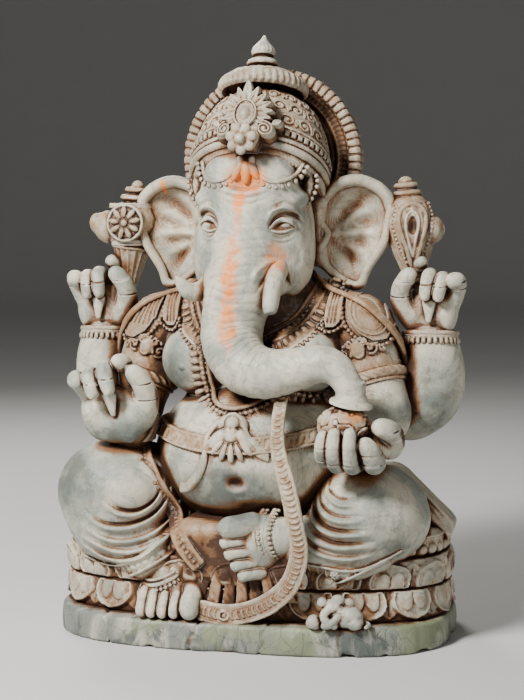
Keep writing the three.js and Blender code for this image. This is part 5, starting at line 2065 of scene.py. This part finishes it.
def stone(name, dirtier=0.0):
    g = Graph(name)
    dirt, edge, mark, stain, warm, glow = (g.attribute(k) for k in ("dirt", "edge", "mark", "stain", "warm", "glow"))
    marble = g.noise(13, 7, 0.6, 1.4)
    veins = g.span(g.math("ABSOLUTE", g.math("SUBTRACT", g.noise(17, 6, 0.6, 2.2), 0.5)), 0.0, 0.035, 1.0, 0.0)
    mottle = g.noise(95, 6, 0.65)
    speck = g.noise(420, 3, 0.6)
    colour = g.mix(g.span(marble, 0.38, 0.68), CREAM, PALE_GREY)
    colour = g.mix(g.math("MULTIPLY", veins, 0.35), colour, GREY_GREEN)
    # grey stains, and painted shade on the undersides
    colour = g.mix(g.math("MULTIPLY", stain, 0.85), colour, GREY_GREEN)
    # soot in patches, heavier on the stains and on the painted underside shade
    soot_and_shade = g.math("MULTIPLY", g.span(g.math("ADD", mottle, g.math("MULTIPLY", stain, 0.45)), 0.72, 0.95), 0.55)
    colour = g.mix(soot_and_shade, colour, SOOT)
    film = g.math("ADD", g.math("MULTIPLY", warm, 0.62), g.math("MULTIPLY", g.math("SUBTRACT", mottle, 0.5), 0.9))
    colour = g.mix(g.math("MULTIPLY", g.span(film, 0.0, 0.75), 0.85), colour, TAN)
    ragged = g.math("MULTIPLY", g.math("SUBTRACT", mottle, 0.5), 0.55)
    # broad sienna patina and painted shade where the forms meet
    broad_darkening = g.math("ADD", glow, g.math("MULTIPLY", g.math("SUBTRACT", marble, 0.5), 0.5))
    colour = g.mix(g.math("MULTIPLY", g.span(broad_darkening, 0.02, 0.75), 0.80), colour, SIENNA)
    # rust, then dark brown, in creases and recesses: the patina of the hollows and painted shade
    recess = g.math("ADD", g.math("ADD", dirt, ragged), g.math("MULTIPLY", warm, 0.16 + dirtier))
    colour = g.mix(g.math("MULTIPLY", g.span(recess, 0.02, 0.50), 0.88), colour, RUST)
    colour = g.mix(g.math("MULTIPLY", g.span(recess, 0.34, 0.85), 0.95), colour, BROWN)
    # painted highlight: raised edges lightened towards cream
    edge_highlight = g.math("MULTIPLY", g.span(g.math("ADD", edge, g.math("MULTIPLY", ragged, 0.8)), 0.12, 0.5), 0.42)
    colour = g.mix(edge_highlight, colour, HIGHLIGHT_CREAM)
    colour = g.mix(g.span(g.math("ADD", mark, g.math("MULTIPLY", ragged, mark)), 0.15, 0.95, 0.0, 0.88), colour,
                   VERMILION)
    colour = g.mix(g.math("MULTIPLY", g.span(speck, 0.66, 0.78), 0.30), colour, BROWN)
    g.link(colour, g.shader.inputs["Base Color"])
    rough = g.math("ADD", g.span(mottle, 0.3, 0.7, 0.42, 0.60), g.math("MULTIPLY", dirt, 0.22), True)
    g.link(rough, g.shader.inputs["Roughness"])
    pits = g.span(g.cells(260), 0.0, 0.22, 0.0, 1.0)
    crazing = g.span(g.cells(34, "DISTANCE_TO_EDGE"), 0.0, 0.012, 0.0, 1.0)
    crazing = g.math("MAXIMUM", crazing, g.span(g.noise(19, 3, 0.5), 0.50, 0.58))
    height = g.math("ADD", g.math("MULTIPLY", mottle, 0.9), g.math("MULTIPLY", speck, 0.30))
    height = g.math("ADD", height, g.math("MULTIPLY", pits, 0.20))
    height = g.math("ADD", height, g.math("MULTIPLY", crazing, 0.35))
    g.link(g.bump(height, 0.0009, 0.75), g.shader.inputs["Normal"])
    g.shader.inputs["Specular IOR Level"].default_value = 0.42
    return g.mat


def slab_stone(name):
    """The slab's streaked white, grey and green marble, with patina and painted shade in its hollows and painted
    highlights on its edges.
    """
    g = Graph(name)
    dirt, edge = g.attribute("dirt"), g.attribute("edge")
    streaks = g.noise(13, 8, 0.65, 2.0, (1.0, 1.0, 0.35))
    second = g.noise(31, 6, 0.7, 1.2, (1.0, 1.0, 0.5))
    mottle = g.noise(95, 6, 0.65)
    colour = g.mix(g.span(streaks, 0.34, 0.56), SLAB_WHITE, SLAB_GREY)
    colour = g.mix(g.math("MULTIPLY", g.span(second, 0.46, 0.58), 0.9), colour, SLAB_DARK)
    colour = g.mix(g.math("MULTIPLY", g.span(g.noise(9, 4, 0.6, 0.6), 0.50, 0.60), 0.7), colour, SLAB_GREEN)
    # rust and dark brown in chips and cracks: patina and painted shade
    recess = g.math("ADD", dirt, g.math("MULTIPLY", g.math("SUBTRACT", mottle, 0.5), 0.6))
    colour = g.mix(g.math("MULTIPLY", g.span(recess, 0.12, 0.55), 0.7), colour, RUST)
    colour = g.mix(g.math("MULTIPLY", g.span(recess, 0.45, 0.95), 0.85), colour, BROWN)
    colour = g.mix(g.math("MULTIPLY", g.span(second, 0.70, 0.80), 0.7), colour, SOOT)
    # painted highlight on the raised edges
    colour = g.mix(g.math("MULTIPLY", g.span(edge, 0.1, 0.5), 0.45), colour, HIGHLIGHT_CREAM)
    g.link(colour, g.shader.inputs["Base Color"])
    g.link(g.span(mottle, 0.3, 0.7, 0.40, 0.62), g.shader.inputs["Roughness"])
    height = g.math("ADD", mottle, g.math("MULTIPLY", g.span(g.cells(55, "DISTANCE_TO_EDGE"), 0.0, 0.02), 0.5))
    g.link(g.bump(height, 0.0012, 0.8), g.shader.inputs["Normal"])
    return g.mat


def steel(name):
    g = Graph(name)
    brushed = g.noise(180, 4, 0.6, 0.0, (1.0, 1.0, 8.0))
    g.link(g.mix(g.span(brushed, 0.35, 0.7), (0.42, 0.43, 0.44, 1), (0.24, 0.23, 0.22, 1)),
           g.shader.inputs["Base Color"])
    g.link(g.span(brushed, 0.3, 0.7, 0.28, 0.5), g.shader.inputs["Roughness"])
    g.link(g.bump(brushed, 0.0003, 0.5), g.shader.inputs["Normal"])
    g.shader.inputs["Metallic"].default_value = 1.0
    return g.mat


def floor_finish(name):
    g = Graph(name)
    g.link(g.mix(g.noise(6, 3), (0.60, 0.595, 0.58, 1), (0.64, 0.635, 0.62, 1)), g.shader.inputs["Base Color"])
    g.shader.inputs["Roughness"].default_value = 0.85
    return g.mat


# ---- assembly ----

BODY = next(iter(frame["bodies"]))
DOWELS = ("torso_dowel", "neck_dowel", "halo_dowel", "finial_dowel")

with ThreadPoolExecutor(4) as pool:
    clays = list(pool.map(lambda piece: piece[1](*piece[2]), PIECES))
    room = Room()
    for clay in clays:
        room.mark(clay)
    room.settle()
    dressed = list(pool.map(lambda both: dress(both[0][0], both[1], room), zip(PIECES, clays)))

looks = {"pale_stone": stone("pale_stone_finish"), "stained_stone": stone("stained_stone_finish", 0.12)}
slab_look = slab_stone("slab_finish")
for (name, _, _, warm, grade), data in zip(PIECES, dressed):
    piece = make_mesh(f"{name}_carved", *data, warm)
    bpy.context.scene.collection.objects.link(piece)
    piece.data.materials.append(slab_look if name == "plinth_slab" else looks[grade])
    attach(piece, BODY)
    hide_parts(name)
clays = dressed = room = None

dowel_look = steel("dowel_finish")
for name in DOWELS:
    node = frame["nodes"][name]
    for k in range(len(node.data.materials)):
        node.data.materials[k] = dowel_look


# ---- floor, light and camera ----

def metres(*p):
    return Vector([v / MM_PER_M for v in p])


FLOOR_RADIUS, SWEEP, WALL_TOP, TURNS = 7.0, 3.0, 6.0, 96      # metres, and steps round
floor_mesh = bpy.data.meshes.new("floor")
section = [(FLOOR_RADIUS * k / 6, 0.0) for k in range(1, 7)]
section += [(FLOOR_RADIUS + SWEEP * math.sin(t), SWEEP * (1 - math.cos(t)))
            for t in np.linspace(0, math.pi / 2, 17)[1:]] + [(FLOOR_RADIUS + SWEEP, WALL_TOP)]
spots = [(0.0, 0.0, 0.0)] + [(r * math.cos(a), r * math.sin(a), z) for r, z in section
                             for a in np.linspace(0, 2 * math.pi, TURNS, endpoint=False)]
sides = [(0, 1 + k, 1 + (k + 1) % TURNS) for k in range(TURNS)]
sides += [(1 + m * TURNS + k, 1 + (m + 1) * TURNS + k, 1 + (m + 1) * TURNS + (k + 1) % TURNS,
           1 + m * TURNS + (k + 1) % TURNS) for m in range(len(section) - 1) for k in range(TURNS)]
floor_mesh.from_pydata(spots, [], sides)
floor_mesh.polygons.foreach_set("use_smooth", [True] * len(floor_mesh.polygons))
floor = bpy.data.objects.new("floor", floor_mesh)
bpy.context.scene.collection.objects.link(floor)
floor_mesh.materials.append(floor_finish("floor_finish"))


def lamp(name, at, size, power, colour):
    light = bpy.data.lights.new(name, "AREA")
    light.shape = "DISK"
    light.size, light.energy, light.color = size, power, colour
    ob = bpy.data.objects.new(name, light)
    ob.location = at
    ob.rotation_euler = (LOOK_AT - at).to_track_quat("-Z", "Y").to_euler()
    bpy.context.scene.collection.objects.link(ob)


LOOK_AT = metres(7, 0, 278)
# name, place in mm, size in m, power in W, colour
LAMPS = (("key", (-720, -1450, 1550), 0.5, 88, (1.0, 0.985, 0.96)),
         ("fill", (1700, -1100, 700), 1.2, 6, (0.98, 0.99, 1.0)),
         ("rim", (-900, 1300, 1500), 0.8, 22, (1.0, 0.98, 0.95)))
for name, at, size, power, colour in LAMPS:
    lamp(name, metres(*at), size, power, colour)

WORLD_COLOUR, WORLD_STRENGTH = (0.84, 0.83, 0.81, 1), 0.10
world = bpy.data.worlds.new("studio")
bpy.context.scene.world = world
world.use_nodes = True
sky = world.node_tree.nodes["Background"]
sky.inputs["Color"].default_value = WORLD_COLOUR
sky.inputs["Strength"].default_value = WORLD_STRENGTH

AZIMUTH, ELEVATION, DISTANCE = math.radians(14), math.radians(4), 1700      # mm away
LENS, SENSOR = 87.43, 36                                                    # mm
back = Vector((math.sin(AZIMUTH) * math.cos(ELEVATION), -math.cos(AZIMUTH) * math.cos(ELEVATION),
               math.sin(ELEVATION)))
camera = bpy.data.objects.new("camera", bpy.data.cameras.new("camera"))
camera.data.lens = LENS
camera.data.sensor_width = SENSOR
camera.location = LOOK_AT + back * (DISTANCE / MM_PER_M)
camera.rotation_euler = (-back).to_track_quat("-Z", "Y").to_euler()
bpy.context.scene.collection.objects.link(camera)
bpy.context.scene.camera = camera
